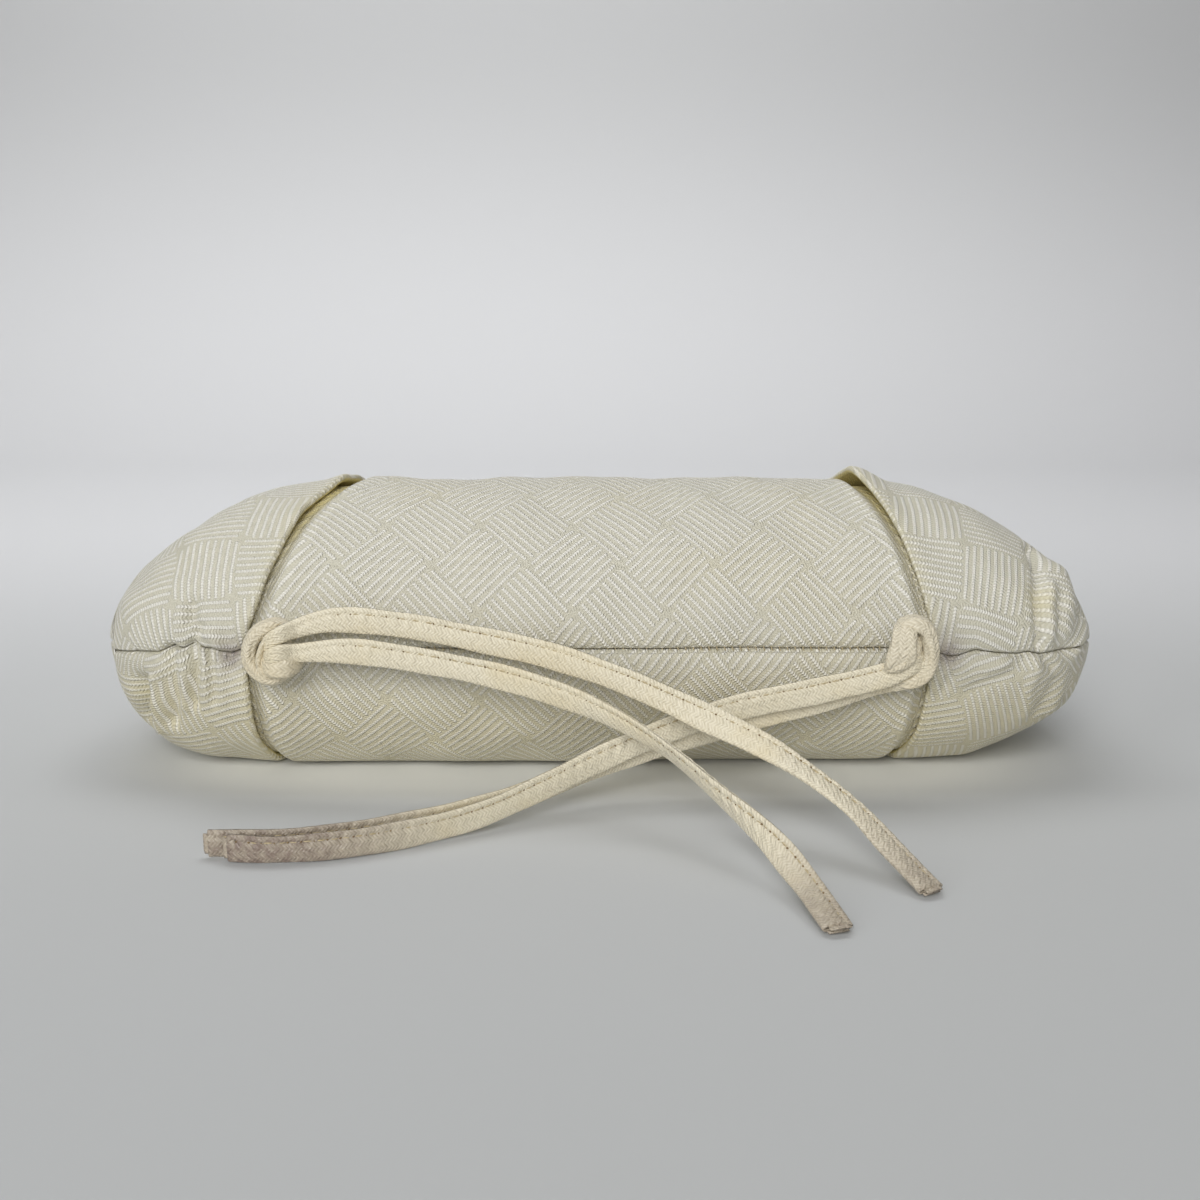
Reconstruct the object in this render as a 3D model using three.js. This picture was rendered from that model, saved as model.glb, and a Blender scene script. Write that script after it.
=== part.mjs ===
// Small padded satin shoulder bag with folded base corners and knotted ties.
// It lies on its back panel, as on a table. Millimetres: X runs across the bag,
// Y from the base seam to the mouth, Z up from the table.
import * as THREE from 'three';
import { mergeVertices } from 'three/addons/utils/BufferGeometryUtils.js';

// Body
const BAG_WIDTH = 280; // over the stuffed base corners
const BAG_DEPTH = 165; // base seam to mouth
const BODY_HEIGHT = 78; // thickest part of the stuffed body
const SEAM_HEIGHT = 39; // base seam above the table
const NOSE_DEPTH = 48; // base seam to the thickest part
const CORNER_REACH = 66; // width of each rounded end, seen from the base
const MOUTH_HEIGHT = 30;
const MOUTH_TAPER = 30; // how much each side draws in from the base to the mouth
const TABLE_FLATTENING = 3; // how far the table presses the back panel in
const TAPER_POWER = 1.4;

// Fullness of the stuffed ends: 2 is an ellipse, and more is nearer to a box
const PLAN_FULLNESS = 3.3; // base corners, seen from above
const CROWN_FULLNESS = 1.8; // front panel, seen from the base
const LEFT_SAG_FULLNESS = 2.85; // back panel, where the filling sags on the table
const RIGHT_SAG_FULLNESS = 2.25;

// Layers, from the outside in
const FOLD_WALL = 2.2; // double fabric of the folded corner
const PANEL_WALL = 2.2; // outer fabric with its wadding
const LINING_WALL = 0.8;
const CLEARANCE = 0.3; // between pieces that touch
const FOLD_PROUD = 1.6; // rolled edge of the fold above the panel it laps
const FOLD_STEP = 2.4; // length of the step where a panel dips under the fold
const FOLD_SIDE_CLEARANCE = 0.6;

// Folded corners: how far in from the bag's end each fold edge lies
const LEFT_FOLD_SEAM = 44;
const LEFT_FOLD_TOP = 67.6;
const LEFT_FOLD_BOTTOM = 57.4;
const RIGHT_FOLD_SEAM = 50;
const RIGHT_FOLD_TOP = 66.2;
const RIGHT_FOLD_BOTTOM = 63;
const FOLD_MOUTH = 80;

// Mouth, pocket and closure
const FACING_DEPTH = 24;
const POCKET_FROM_FOLD = 6; // each side of the pocket, in from the fold edge at the mouth
const POCKET_DEPTH = 62;
const POCKET_WALL = 1;
const FLAP_WIDTH = 30;
const FLAP_WALL = 2.2;
const FLAP_REACH = 40; // from the mouth over the front panel
const FLAP_LIP_ROOM = 5.6; // from the mouth's edge to the middle of the flap's wall
const FLAP_TURN_BACK = 1.2; // where its first bend ends, from the lip
const FLAP_TURN_UP = 1.6; // and above the hinge
const FLAP_UPRIGHT_FROM = 9; // foot of its upright run, from the table
const FLAP_UPRIGHT_BELOW = 2; // top of its upright run, below the mouth's top
const FLAP_SHARES = [0.05, 0.3, 0.55, 0.8, 1]; // of its reach, where its path is set
const SNAP_RADIUS = 7;
const SNAP_PLATE = 1.2;
const SNAP_HOLE_RADIUS = 4;
const SNAP_BOSS_RADIUS = 2.4;
const SNAP_BOSS_RISE = 0.8;
const SNAP_FROM_MOUTH = 27;

// Side tabs, rings and strap
const WEB_WALL = 1.1; // one layer of a tab or strap end
const TAB_WIDTH = 15;
const TAB_SEAT = 18; // length held inside the mouth
const TAB_REACH = 12; // mouth's edge to the middle of the ring's inner bar
const RING_BAR = 2.4;
const RING_LENGTH = 12; // middle of one bar to the middle of the other
const RING_SIDE_PLAY = 1;
const LOOP_PLAY = 0.35; // between a ring's bar and the loop round it
const STRAP_END_LENGTH = 22;
const STRAP_WIDTH = 10;
const STRAP_THICKNESS = 5;
const STRAP_LIFT = 0.3; // keeps the strap's soft curve off the table
const STRAP_DROP_RUN = 62; // length over which the strap comes down to the table
const STRAP_STRAIGHT = 45; // straight run on the table before the bend
const STRAP_DROP_SHARES = [[0, 1], [0.12, 1], [0.42, 0.62], [0.72, 0.16], [1, 0]]; // run and height

// Ties
const TIE_WIDTH = 7;
const TIE_THICKNESS = 2.4;
const TIE_EDGE_CUT = 0.8; // how far each long edge is rounded off
const KNOT_DEPTH = 10;
const KNOT_CORNER = 5;
const KNOT_BEVEL = 2;
const KNOT_ABOVE = 10.8; // above the base seam
const LEFT_KNOT_FROM_FOLD = 0.9;
const LEFT_KNOT_WIDTH = 14.2;
const LEFT_KNOT_BELOW = 7.1; // below the base seam
const RIGHT_KNOT_FROM_FOLD = 0.7;
const RIGHT_KNOT_WIDTH = 13.9;
const RIGHT_KNOT_BELOW = 9;

// Fineness of the surfaces
const CENTRE_COLUMNS = 5;
const FOLD_COLUMNS = 7;
const NOSE_ROWS = 7;
const BODY_ROWS = 4;
const FACING_ROWS = 2;
const FLAP_STEPS = 20;
const SNAP_SIDES = 20;
const ARC_STEPS = 8;
const ROUND_END_STEPS = 4;
const RING_ARC_STEPS = 5;
const STRAP_SIDES = 8;
const STRAP_STEPS = 48;
const STRAP_BEND_POINTS = 8;
const TIE_STEPS = 30;
const KNOT_ARC_STEPS = 4;
const KNOT_BEVEL_STEPS = 2;
const SLOPE_STEP = 0.5; // spacing at which the front panel's slope is taken
const SAME_SHARE = 1e-9;
const MERGE_DISTANCE = 1e-3;

// Values worked out from the sizes above
const HALF_FLAT = BAG_WIDTH / 2 - CORNER_REACH;
const LAST_ARC = HALF_FLAT + CORNER_REACH * Math.PI / 2;
const UNDER_FOLD = FOLD_WALL + CLEARANCE;
const LINING_INSET = PANEL_WALL + CLEARANCE;
const INNER_INSET = LINING_INSET + LINING_WALL;
const HALF_SEAM_GAP = CLEARANCE / 2;
const FACING_LINE = (BAG_DEPTH - FACING_DEPTH - NOSE_DEPTH) / (BAG_DEPTH - NOSE_DEPTH);
const RIM_HEIGHT = MOUTH_HEIGHT / 2;
const LOOP_HOLE = Math.hypot(RING_BAR, RING_BAR) / 2 + LOOP_PLAY;
const LOOP_RADIUS = LOOP_HOLE + WEB_WALL;
const INNER_BAR_Y = BAG_DEPTH + TAB_REACH;
const OUTER_BAR_Y = INNER_BAR_Y + RING_LENGTH;

const LEFT_FOLD = {
  seam: LEFT_FOLD_SEAM,
  top: LEFT_FOLD_TOP,
  bottom: LEFT_FOLD_BOTTOM,
};
const RIGHT_FOLD = {
  seam: RIGHT_FOLD_SEAM,
  top: RIGHT_FOLD_TOP,
  bottom: RIGHT_FOLD_BOTTOM,
};
const LEFT_KNOT = {
  fromFold: LEFT_KNOT_FROM_FOLD,
  width: LEFT_KNOT_WIDTH,
  below: LEFT_KNOT_BELOW,
};
const RIGHT_KNOT = {
  fromFold: RIGHT_KNOT_FROM_FOLD,
  width: RIGHT_KNOT_WIDTH,
  below: RIGHT_KNOT_BELOW,
};

const lerp = THREE.MathUtils.lerp;

const finishes = {
  jacquard: { color: 0xcfcdbe, roughness: 0.45, metalness: 0 },
  tie: { color: 0xdcd4bc, roughness: 0.5, metalness: 0 },
  lining: { color: 0xd8cfb4, roughness: 0.6, metalness: 0 },
  metal: { color: 0xc9b27a, roughness: 0.25, metalness: 1 },
};

const bag = new THREE.Group();

function addPiece(name, geometry, finish, home = bag) {
  const piece = new THREE.Mesh(geometry, new THREE.MeshStandardMaterial(finishes[finish]));
  piece.name = name;
  home.add(piece);
  return piece;
}

// Height of the seam line that joins front and back panels, falling towards the mouth.
function seamLine(y) {
  return lerp(SEAM_HEIGHT, RIM_HEIGHT, y / BAG_DEPTH);
}

// Highest line of the front panel, level over the nose and falling towards the mouth.
function crestLine(share) {
  return lerp(BODY_HEIGHT, MOUTH_HEIGHT, Math.pow(share, TAPER_POWER));
}

function crestAt(y) {
  return crestLine((y - NOSE_DEPTH) / (BAG_DEPTH - NOSE_DEPTH));
}

// Rows of a panel: round the nose by an angle, then along the body by a share of its length.
function panelRows(lastShare = 1) {
  const rows = [];
  for (let k = 0; k <= NOSE_ROWS; k += 1) {
    rows.push({ rise: (Math.PI / 2) * (1 - k / NOSE_ROWS), share: 0 });
  }
  for (let k = 1; k <= BODY_ROWS; k += 1) {
    rows.push({ rise: 0, share: FACING_LINE * k / BODY_ROWS });
  }
  for (let k = 1; k <= FACING_ROWS; k += 1) {
    rows.push({ rise: 0, share: lerp(FACING_LINE, 1, k / FACING_ROWS) });
  }
  return rows.filter((row) => row.share <= lastShare + SAME_SHARE);
}

// Length of a vector's two parts by a fullness, which is its usual length at 2.
function fullLength(a, b, fullness) {
  return (a ** fullness + b ** fullness) ** (1 / fullness);
}

// The other part of a vector of length 1 by a fullness.
function otherPart(part, fullness) {
  return (1 - part ** fullness) ** (1 / fullness);
}

function sectionFullness(arc, face) {
  const sag = lerp(LEFT_SAG_FULLNESS, RIGHT_SAG_FULLNESS, (arc / LAST_ARC + 1) / 2);
  return face === 'front' ? CROWN_FULLNESS : sag;
}

// One point of the stuffed body. The arc is the distance from the middle along the
// section: straight at first, then round the end as a quarter of a ball, which is
// pushed out to the fullness of the plan and of the section.
function skinPoint(arc, row, face, inset) {
  const away = Math.abs(arc);
  const turn = Math.max(0, away - HALF_FLAT) / CORNER_REACH;
  const reach = CORNER_REACH - MOUTH_TAPER * row.share - inset;
  const ballX = Math.sin(turn) * Math.sqrt(1 - Math.sin(row.rise) ** 2 / 2);
  const ballY = Math.sin(row.rise) * Math.sqrt(1 - Math.sin(turn) ** 2 / 2);
  const ballZ = Math.max(0, Math.cos(turn) * Math.cos(row.rise));
  const plan = fullLength(ballX, ballY, PLAN_FULLNESS);
  const size = fullLength(plan, ballZ, sectionFullness(arc, face));
  const across = ballX / size;
  const along = ballY / size;
  const lift = ballZ / size;
  const x = Math.sign(arc) * (Math.min(away, HALF_FLAT) + reach * across);
  const noseY = inset + (NOSE_DEPTH - inset) * (1 - along);
  const y = row.share > 0 ? lerp(NOSE_DEPTH, BAG_DEPTH, row.share) : noseY;
  const seam = seamLine(y);
  if (face === 'front') {
    const height = crestLine(row.share) - seam - inset;
    return new THREE.Vector3(x, y, seam + HALF_SEAM_GAP + height * lift);
  }
  const depth = seam + TABLE_FLATTENING - inset;
  const z = seam - HALF_SEAM_GAP - depth * lift;
  return new THREE.Vector3(x, y, Math.max(z, inset, 0));
}

// Arc of a fold edge in a row: it runs out along the nose and in again to the mouth.
function foldArc(fold, row, face) {
  const atSeam = BAG_WIDTH / 2 - fold.seam;
  const seamReach = (atSeam - HALF_FLAT) / CORNER_REACH;
  const slope = seamReach / otherPart(seamReach, PLAN_FULLNESS);
  const seamArc = HALF_FLAT + CORNER_REACH * Math.asin(Math.SQRT2 * Math.sin(Math.atan(slope)));
  const atCrest = BAG_WIDTH / 2 - (face === 'front' ? fold.top : fold.bottom);
  const crestTurn = Math.asin(Math.max(0, atCrest - HALF_FLAT) / CORNER_REACH);
  const crestArc = Math.min(atCrest, HALF_FLAT) + CORNER_REACH * crestTurn;
  const mouthArc = BAG_WIDTH / 2 - FOLD_MOUTH;
  const noseArc = lerp(crestArc, seamArc, row.rise / (Math.PI / 2));
  return lerp(noseArc, mouthArc, row.share);
}

// Columns of one half of a panel: the bare middle, the dip, and the part under the fold.
function halfColumns(fold, row, face) {
  const edge = foldArc(fold, row, face);
  const clear = edge - FOLD_SIDE_CLEARANCE - FOLD_STEP;
  const columns = [];
  for (let k = 1; k <= CENTRE_COLUMNS; k += 1) {
    columns.push({ arc: clear * k / CENTRE_COLUMNS, dip: 0 });
  }
  columns.push({ arc: edge - FOLD_SIDE_CLEARANCE, dip: UNDER_FOLD });
  for (let k = 1; k <= FOLD_COLUMNS; k += 1) {
    columns.push({ arc: lerp(edge, LAST_ARC, k / FOLD_COLUMNS), dip: UNDER_FOLD });
  }
  return columns;
}

function panelColumns(row, face) {
  const left = halfColumns(LEFT_FOLD, row, face).reverse();
  const right = halfColumns(RIGHT_FOLD, row, face);
  return [
    ...left.map((column) => ({ arc: -column.arc, dip: column.dip })),
    { arc: 0, dip: 0 },
    ...right,
  ];
}

// Closed sheet between an outer and an inner grid of points, joined round its rim.
function sheetBetween(outer, inner) {
  const rows = outer.length;
  const columns = outer[0].length;
  const points = [...outer.flat(), ...inner.flat()];
  const at = (sheet, row, column) => (sheet * rows + row) * columns + column;
  const faces = [];
  const addQuad = (a, b, c, d) => faces.push([a, b, c], [a, c, d]);
  for (let row = 0; row < rows - 1; row += 1) {
    for (let column = 0; column < columns - 1; column += 1) {
      const middle = outer[row][column].x + outer[row][column + 1].x;
      for (const sheet of [0, 1]) {
        const ring = [
          at(sheet, row, column),
          at(sheet, row, column + 1),
          at(sheet, row + 1, column + 1),
          at(sheet, row + 1, column),
        ];
        const start = middle > 0 ? [ring[1], ring[2], ring[3], ring[0]] : ring;
        addQuad(...(sheet === 0 ? start : [start[0], start[3], start[2], start[1]]));
      }
    }
  }
  const rim = [];
  for (let column = 0; column < columns - 1; column += 1) {
    rim.push([0, column]);
  }
  for (let row = 0; row < rows - 1; row += 1) {
    rim.push([row, columns - 1]);
  }
  for (let column = columns - 1; column > 0; column -= 1) {
    rim.push([rows - 1, column]);
  }
  for (let row = rows - 1; row > 0; row -= 1) {
    rim.push([row, 0]);
  }
  rim.forEach(([row, column], k) => {
    const [nextRow, nextColumn] = rim[(k + 1) % rim.length];
    addQuad(
      at(0, nextRow, nextColumn),
      at(0, row, column),
      at(1, row, column),
      at(1, nextRow, nextColumn),
    );
  });
  return outwardGeometry(points, faces);
}

// Geometry from points and triangles, turned inside out if its volume comes out negative.
function outwardGeometry(points, faces) {
  let volume = 0;
  for (const [a, b, c] of faces) {
    volume += points[a].dot(new THREE.Vector3().crossVectors(points[b], points[c]));
  }
  const index = faces.flatMap(([a, b, c]) => (volume < 0 ? [a, c, b] : [a, b, c]));
  const geometry = new THREE.BufferGeometry();
  const positions = points.flatMap((point) => point.toArray());
  geometry.setAttribute('position', new THREE.Float32BufferAttribute(positions, 3));
  geometry.setIndex(index);
  return geometry;
}

// Sheet that follows the panel's own grid at some depth under its outer surface.
function layer(face, rows, depth, wall) {
  const grid = (inset) => rows.map((row) =>
    panelColumns(row, face).map((column) => skinPoint(column.arc, row, face, column.dip + inset)));
  return sheetBetween(grid(depth), grid(depth + wall));
}

// Folded corner: lies over the panel from its rolled edge round to the side seam.
function foldedCorner(face, fold, side) {
  const rows = panelRows();
  const grid = (isOuter) => rows.map((row) => {
    const edge = foldArc(fold, row, face);
    const points = [];
    for (let k = 0; k <= FOLD_COLUMNS; k += 1) {
      const share = k / FOLD_COLUMNS;
      const proud = FOLD_PROUD * (1 - share) ** 2 * (1 - row.share);
      points.push(skinPoint(side * lerp(edge, LAST_ARC, share), row, face, isOuter ? -proud : FOLD_WALL));
    }
    return points;
  });
  return sheetBetween(grid(true), grid(false));
}

for (const face of ['front', 'back']) {
  addPiece(`${face}_panel`, layer(face, panelRows(), 0, PANEL_WALL), 'jacquard');
  addPiece(`left_corner_fold_${face}`, foldedCorner(face, LEFT_FOLD, -1), 'jacquard');
  addPiece(`right_corner_fold_${face}`, foldedCorner(face, RIGHT_FOLD, 1), 'jacquard');
  const gapShare = HALF_SEAM_GAP / (BAG_DEPTH - NOSE_DEPTH);
  const liningRows = panelRows(FACING_LINE);
  liningRows[liningRows.length - 1].share -= gapShare;
  addPiece(`${face}_lining`, layer(face, liningRows, LINING_INSET, LINING_WALL), 'lining');
  const facingRows = panelRows().filter((row) => row.share >= FACING_LINE - SAME_SHARE);
  facingRows[0].share += gapShare;
  addPiece(`${face}_mouth_facing`, layer(face, facingRows, LINING_INSET, LINING_WALL), 'jacquard');
}

// Slip pocket, flat on the back lining and sewn below the facing.
const pocketEnd = BAG_DEPTH - FACING_DEPTH - CLEARANCE;
const pocketWidth = BAG_WIDTH - 2 * (FOLD_MOUTH + POCKET_FROM_FOLD);
const pocket = new THREE.BoxGeometry(pocketWidth, POCKET_DEPTH, POCKET_WALL);
const pocketPiece = addPiece('slip_pocket', pocket, 'lining');
pocketPiece.position.set(0, pocketEnd - POCKET_DEPTH / 2, INNER_INSET + CLEARANCE + POCKET_WALL / 2);

// Direction square to the front panel, in its middle, at a distance from the base seam.
function panelNormal(y) {
  const slope = (crestAt(y + SLOPE_STEP) - crestAt(y - SLOPE_STEP)) / (2 * SLOPE_STEP);
  return new THREE.Vector3(0, -slope, 1).normalize();
}

function abovePanel(y, height) {
  const base = new THREE.Vector3(0, y, crestAt(y) + HALF_SEAM_GAP);
  return base.addScaledVector(panelNormal(y), height);
}

// Closed outline of a band of even thickness along a line, with a round first end.
function bandShape(line, thickness) {
  const half = thickness / 2;
  const normalAt = (k) => {
    const before = line[Math.max(k - 1, 0)];
    const after = line[Math.min(k + 1, line.length - 1)];
    return new THREE.Vector2(before.y - after.y, after.x - before.x).normalize();
  };
  const leftSide = line.map((point, k) => point.clone().addScaledVector(normalAt(k), half));
  const rightSide = line.map((point, k) => point.clone().addScaledVector(normalAt(k), -half));
  const first = line[0];
  const startAngle = Math.atan2(leftSide[0].y - first.y, leftSide[0].x - first.x);
  const roundEnd = [];
  for (let k = 1; k < ROUND_END_STEPS; k += 1) {
    const angle = startAngle + Math.PI * k / ROUND_END_STEPS;
    roundEnd.push(new THREE.Vector2(first.x + half * Math.cos(angle), first.y + half * Math.sin(angle)));
  }
  return new THREE.Shape([...leftSide.reverse(), ...roundEnd, ...rightSide]);
}

// Solid with a side view in Y and Z, carried along X about a middle.
function acrossSolid(shape, width, middleX) {
  const geometry = new THREE.ExtrudeGeometry(shape, {
    depth: width,
    bevelEnabled: false,
    curveSegments: ARC_STEPS,
  });
  const toRow = new THREE.Matrix4().set(
    0, 0, 1, middleX - width / 2,
    1, 0, 0, 0,
    0, 1, 0, 0,
    0, 0, 0, 1,
  );
  return geometry.applyMatrix4(toRow);
}

// Closing flap: sewn at the back lip, bent round the mouth, resting on the snap.
const snapStack = CLEARANCE + SNAP_PLATE + CLEARANCE + SNAP_PLATE + CLEARANCE;
const flapMiddle = snapStack + FLAP_WALL / 2;
const flapHinge = new THREE.Vector2(BAG_DEPTH + CLEARANCE + FLAP_WALL / 2, FLAP_WALL / 2);
const lipY = BAG_DEPTH + FLAP_LIP_ROOM;
const flapGuides = [
  flapHinge,
  new THREE.Vector2(lipY - FLAP_TURN_BACK, flapHinge.y + FLAP_TURN_UP),
  new THREE.Vector2(lipY, FLAP_UPRIGHT_FROM),
  new THREE.Vector2(lipY, MOUTH_HEIGHT - FLAP_UPRIGHT_BELOW),
];
for (const share of FLAP_SHARES) {
  const point = abovePanel(BAG_DEPTH - share * FLAP_REACH, flapMiddle);
  flapGuides.push(new THREE.Vector2(point.y, point.z));
}
const flapLine = new THREE.SplineCurve(flapGuides).getPoints(FLAP_STEPS);
addPiece('closing_flap', acrossSolid(bandShape(flapLine, FLAP_WALL), FLAP_WIDTH, 0), 'jacquard');

// Snap halves: a plate with a boss on the panel, and a ring inside the flap.
function turned(outline) {
  const points = outline.map(([radius, height]) => new THREE.Vector2(radius, height));
  return new THREE.LatheGeometry(points, SNAP_SIDES);
}

const snapY = BAG_DEPTH - SNAP_FROM_MOUTH;
const snapHome = new THREE.Group();
snapHome.position.copy(abovePanel(snapY, CLEARANCE));
snapHome.quaternion.setFromUnitVectors(new THREE.Vector3(0, 1, 0), panelNormal(snapY));
bag.add(snapHome);
const ringBase = SNAP_PLATE + CLEARANCE;
addPiece('snap_stud', turned([
  [0, 0],
  [SNAP_RADIUS, 0],
  [SNAP_RADIUS, SNAP_PLATE],
  [SNAP_BOSS_RADIUS, SNAP_PLATE],
  [SNAP_BOSS_RADIUS, SNAP_PLATE + SNAP_BOSS_RISE],
  [0, SNAP_PLATE + SNAP_BOSS_RISE],
]), 'metal', snapHome);
addPiece('snap_socket', turned([
  [SNAP_HOLE_RADIUS, ringBase],
  [SNAP_RADIUS, ringBase],
  [SNAP_RADIUS, ringBase + SNAP_PLATE],
  [SNAP_HOLE_RADIUS, ringBase + SNAP_PLATE],
  [SNAP_HOLE_RADIUS, ringBase],
]), 'metal', snapHome);

// Side view of webbing folded round a ring's bar, its two layers sewn flat together.
function loopShape(barY, tailY) {
  const direction = Math.sign(tailY - barY);
  const meeting = Math.asin(WEB_WALL / LOOP_RADIUS);
  const shape = new THREE.Shape();
  shape.moveTo(tailY, RIM_HEIGHT - WEB_WALL);
  const startAngle = direction > 0 ? -meeting : Math.PI + meeting;
  const endAngle = direction > 0 ? meeting : Math.PI - meeting;
  shape.absarc(barY, RIM_HEIGHT, LOOP_RADIUS, startAngle, endAngle, direction > 0);
  shape.lineTo(tailY, RIM_HEIGHT + WEB_WALL);
  shape.closePath();
  const hole = new THREE.Path();
  hole.absarc(barY, RIM_HEIGHT, LOOP_HOLE, 0, Math.PI * 2, direction < 0);
  shape.holes.push(hole);
  return shape;
}

// Flat ring with a rounded outline and window, its inner bar through the side tab.
function ringGeometry() {
  const window = TAB_WIDTH / 2 + RING_SIDE_PLAY;
  const outline = (x, fromY, toY, radius, path) => {
    path.moveTo(-x + radius, fromY);
    path.lineTo(x - radius, fromY);
    path.absarc(x - radius, fromY + radius, radius, -Math.PI / 2, 0, false);
    path.absarc(x - radius, toY - radius, radius, 0, Math.PI / 2, false);
    path.absarc(-x + radius, toY - radius, radius, Math.PI / 2, Math.PI, false);
    path.absarc(-x + radius, fromY + radius, radius, Math.PI, Math.PI * 1.5, false);
    return path;
  };
  const half = RING_BAR / 2;
  const shape = outline(window + RING_BAR, -half, RING_LENGTH + half, RING_BAR, new THREE.Shape());
  shape.holes.push(outline(window, half, RING_LENGTH - half, half, new THREE.Path()));
  const geometry = new THREE.ExtrudeGeometry(shape, {
    depth: RING_BAR,
    bevelEnabled: false,
    curveSegments: RING_ARC_STEPS,
  });
  return geometry.translate(0, 0, -half);
}

// Flat or oval band along a line: its width stands upright at 0 and lies level at a quarter turn.
class BandCurve extends THREE.CatmullRomCurve3 {
  constructor(points, turnAt) {
    super(points);
    this.turnAt = turnAt;
  }

  computeFrenetFrames(segments) {
    const frames = { tangents: [], normals: [], binormals: [] };
    for (let k = 0; k <= segments; k += 1) {
      const tangent = this.getTangentAt(k / segments);
      const upright = new THREE.Vector3(0, 0, 1).addScaledVector(tangent, -tangent.z).normalize();
      const level = new THREE.Vector3().crossVectors(upright, tangent);
      const turn = this.turnAt(k / segments);
      const width = upright.multiplyScalar(Math.cos(turn)).addScaledVector(level, Math.sin(turn));
      frames.tangents.push(tangent);
      frames.normals.push(width);
      frames.binormals.push(new THREE.Vector3().crossVectors(tangent, width));
    }
    return frames;
  }
}

function ovalShape(width, thickness, sides) {
  const points = [];
  for (let k = 0; k < sides; k += 1) {
    const angle = 2 * Math.PI * (k + 0.5) / sides;
    const fit = Math.cos(Math.PI / sides);
    points.push(new THREE.Vector2(
      Math.cos(angle) * width / 2 / fit,
      Math.sin(angle) * thickness / 2 / fit,
    ));
  }
  return new THREE.Shape(points);
}

// Flat section with its long edges rounded off by one cut each.
function tieShape() {
  const x = TIE_WIDTH / 2;
  const y = TIE_THICKNESS / 2;
  const cut = TIE_EDGE_CUT;
  const corners = [
    [x, -y + cut], [x, y - cut], [x - cut, y], [-x + cut, y],
    [-x, y - cut], [-x, -y + cut], [-x + cut, -y], [x - cut, -y],
  ];
  return new THREE.Shape(corners.map(([across, through]) => new THREE.Vector2(across, through)));
}

function bandAlong(curve, shape, steps) {
  return new THREE.ExtrudeGeometry(shape, { steps, extrudePath: curve, bevelEnabled: false });
}

// Side tabs sit in the mouth's ends, against the facing's inner surface.
const mouthReach = CORNER_REACH - MOUTH_TAPER - UNDER_FOLD - INNER_INSET - CLEARANCE;
const mouthHalfHeight = RIM_HEIGHT - UNDER_FOLD - INNER_INSET - CLEARANCE;
const tabEdge = HALF_FLAT + mouthReach * otherPart(WEB_WALL / mouthHalfHeight, CROWN_FULLNESS);
const strapX = tabEdge - TAB_WIDTH / 2;
const strapEndY = OUTER_BAR_Y + STRAP_END_LENGTH;
for (const [label, side] of [['left', -1], ['right', 1]]) {
  const tab = acrossSolid(loopShape(INNER_BAR_Y, BAG_DEPTH - TAB_SEAT), TAB_WIDTH, side * strapX);
  addPiece(`${label}_side_tab`, tab, 'jacquard');
  const ring = addPiece(`${label}_ring`, ringGeometry(), 'metal');
  ring.position.set(side * strapX, INNER_BAR_Y, RIM_HEIGHT);
  const end = acrossSolid(loopShape(OUTER_BAR_Y, strapEndY), TAB_WIDTH - RING_SIDE_PLAY, side * strapX);
  addPiece(`${label}_strap_end`, end, 'jacquard');
}

// Strap: down from one ring to the table, round a half circle and back to the other ring.
const strapRest = STRAP_THICKNESS / 2 / Math.cos(Math.PI / STRAP_SIDES) + STRAP_LIFT;
const strapStart = strapEndY + CLEARANCE;
const bendY = strapStart + STRAP_DROP_RUN + STRAP_STRAIGHT;
const legSteps = [
  ...STRAP_DROP_SHARES.map(([run, height]) => [run * STRAP_DROP_RUN, lerp(strapRest, RIM_HEIGHT, height)]),
  [STRAP_DROP_RUN + STRAP_STRAIGHT / 2, strapRest],
];
const strapPoints = legSteps.map(([run, z]) => new THREE.Vector3(-strapX, strapStart + run, z));
for (let k = 0; k <= STRAP_BEND_POINTS; k += 1) {
  const angle = Math.PI * (1 - k / STRAP_BEND_POINTS);
  strapPoints.push(new THREE.Vector3(
    strapX * Math.cos(angle),
    bendY + strapX * Math.sin(angle),
    strapRest,
  ));
}
for (const [run, z] of [...legSteps].reverse()) {
  strapPoints.push(new THREE.Vector3(strapX, strapStart + run, z));
}
const strapCurve = new BandCurve(strapPoints, () => Math.PI / 2);
const strapSection = ovalShape(STRAP_WIDTH, STRAP_THICKNESS, STRAP_SIDES);
addPiece('shoulder_strap', bandAlong(strapCurve, strapSection, STRAP_STEPS), 'jacquard');

// Distance that the rounded end has fallen back behind the base seam's middle.
function noseSetback(x) {
  const across = Math.max(0, x - HALF_FLAT) / CORNER_REACH;
  return NOSE_DEPTH * (1 - otherPart(across, PLAN_FULLNESS));
}

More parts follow.
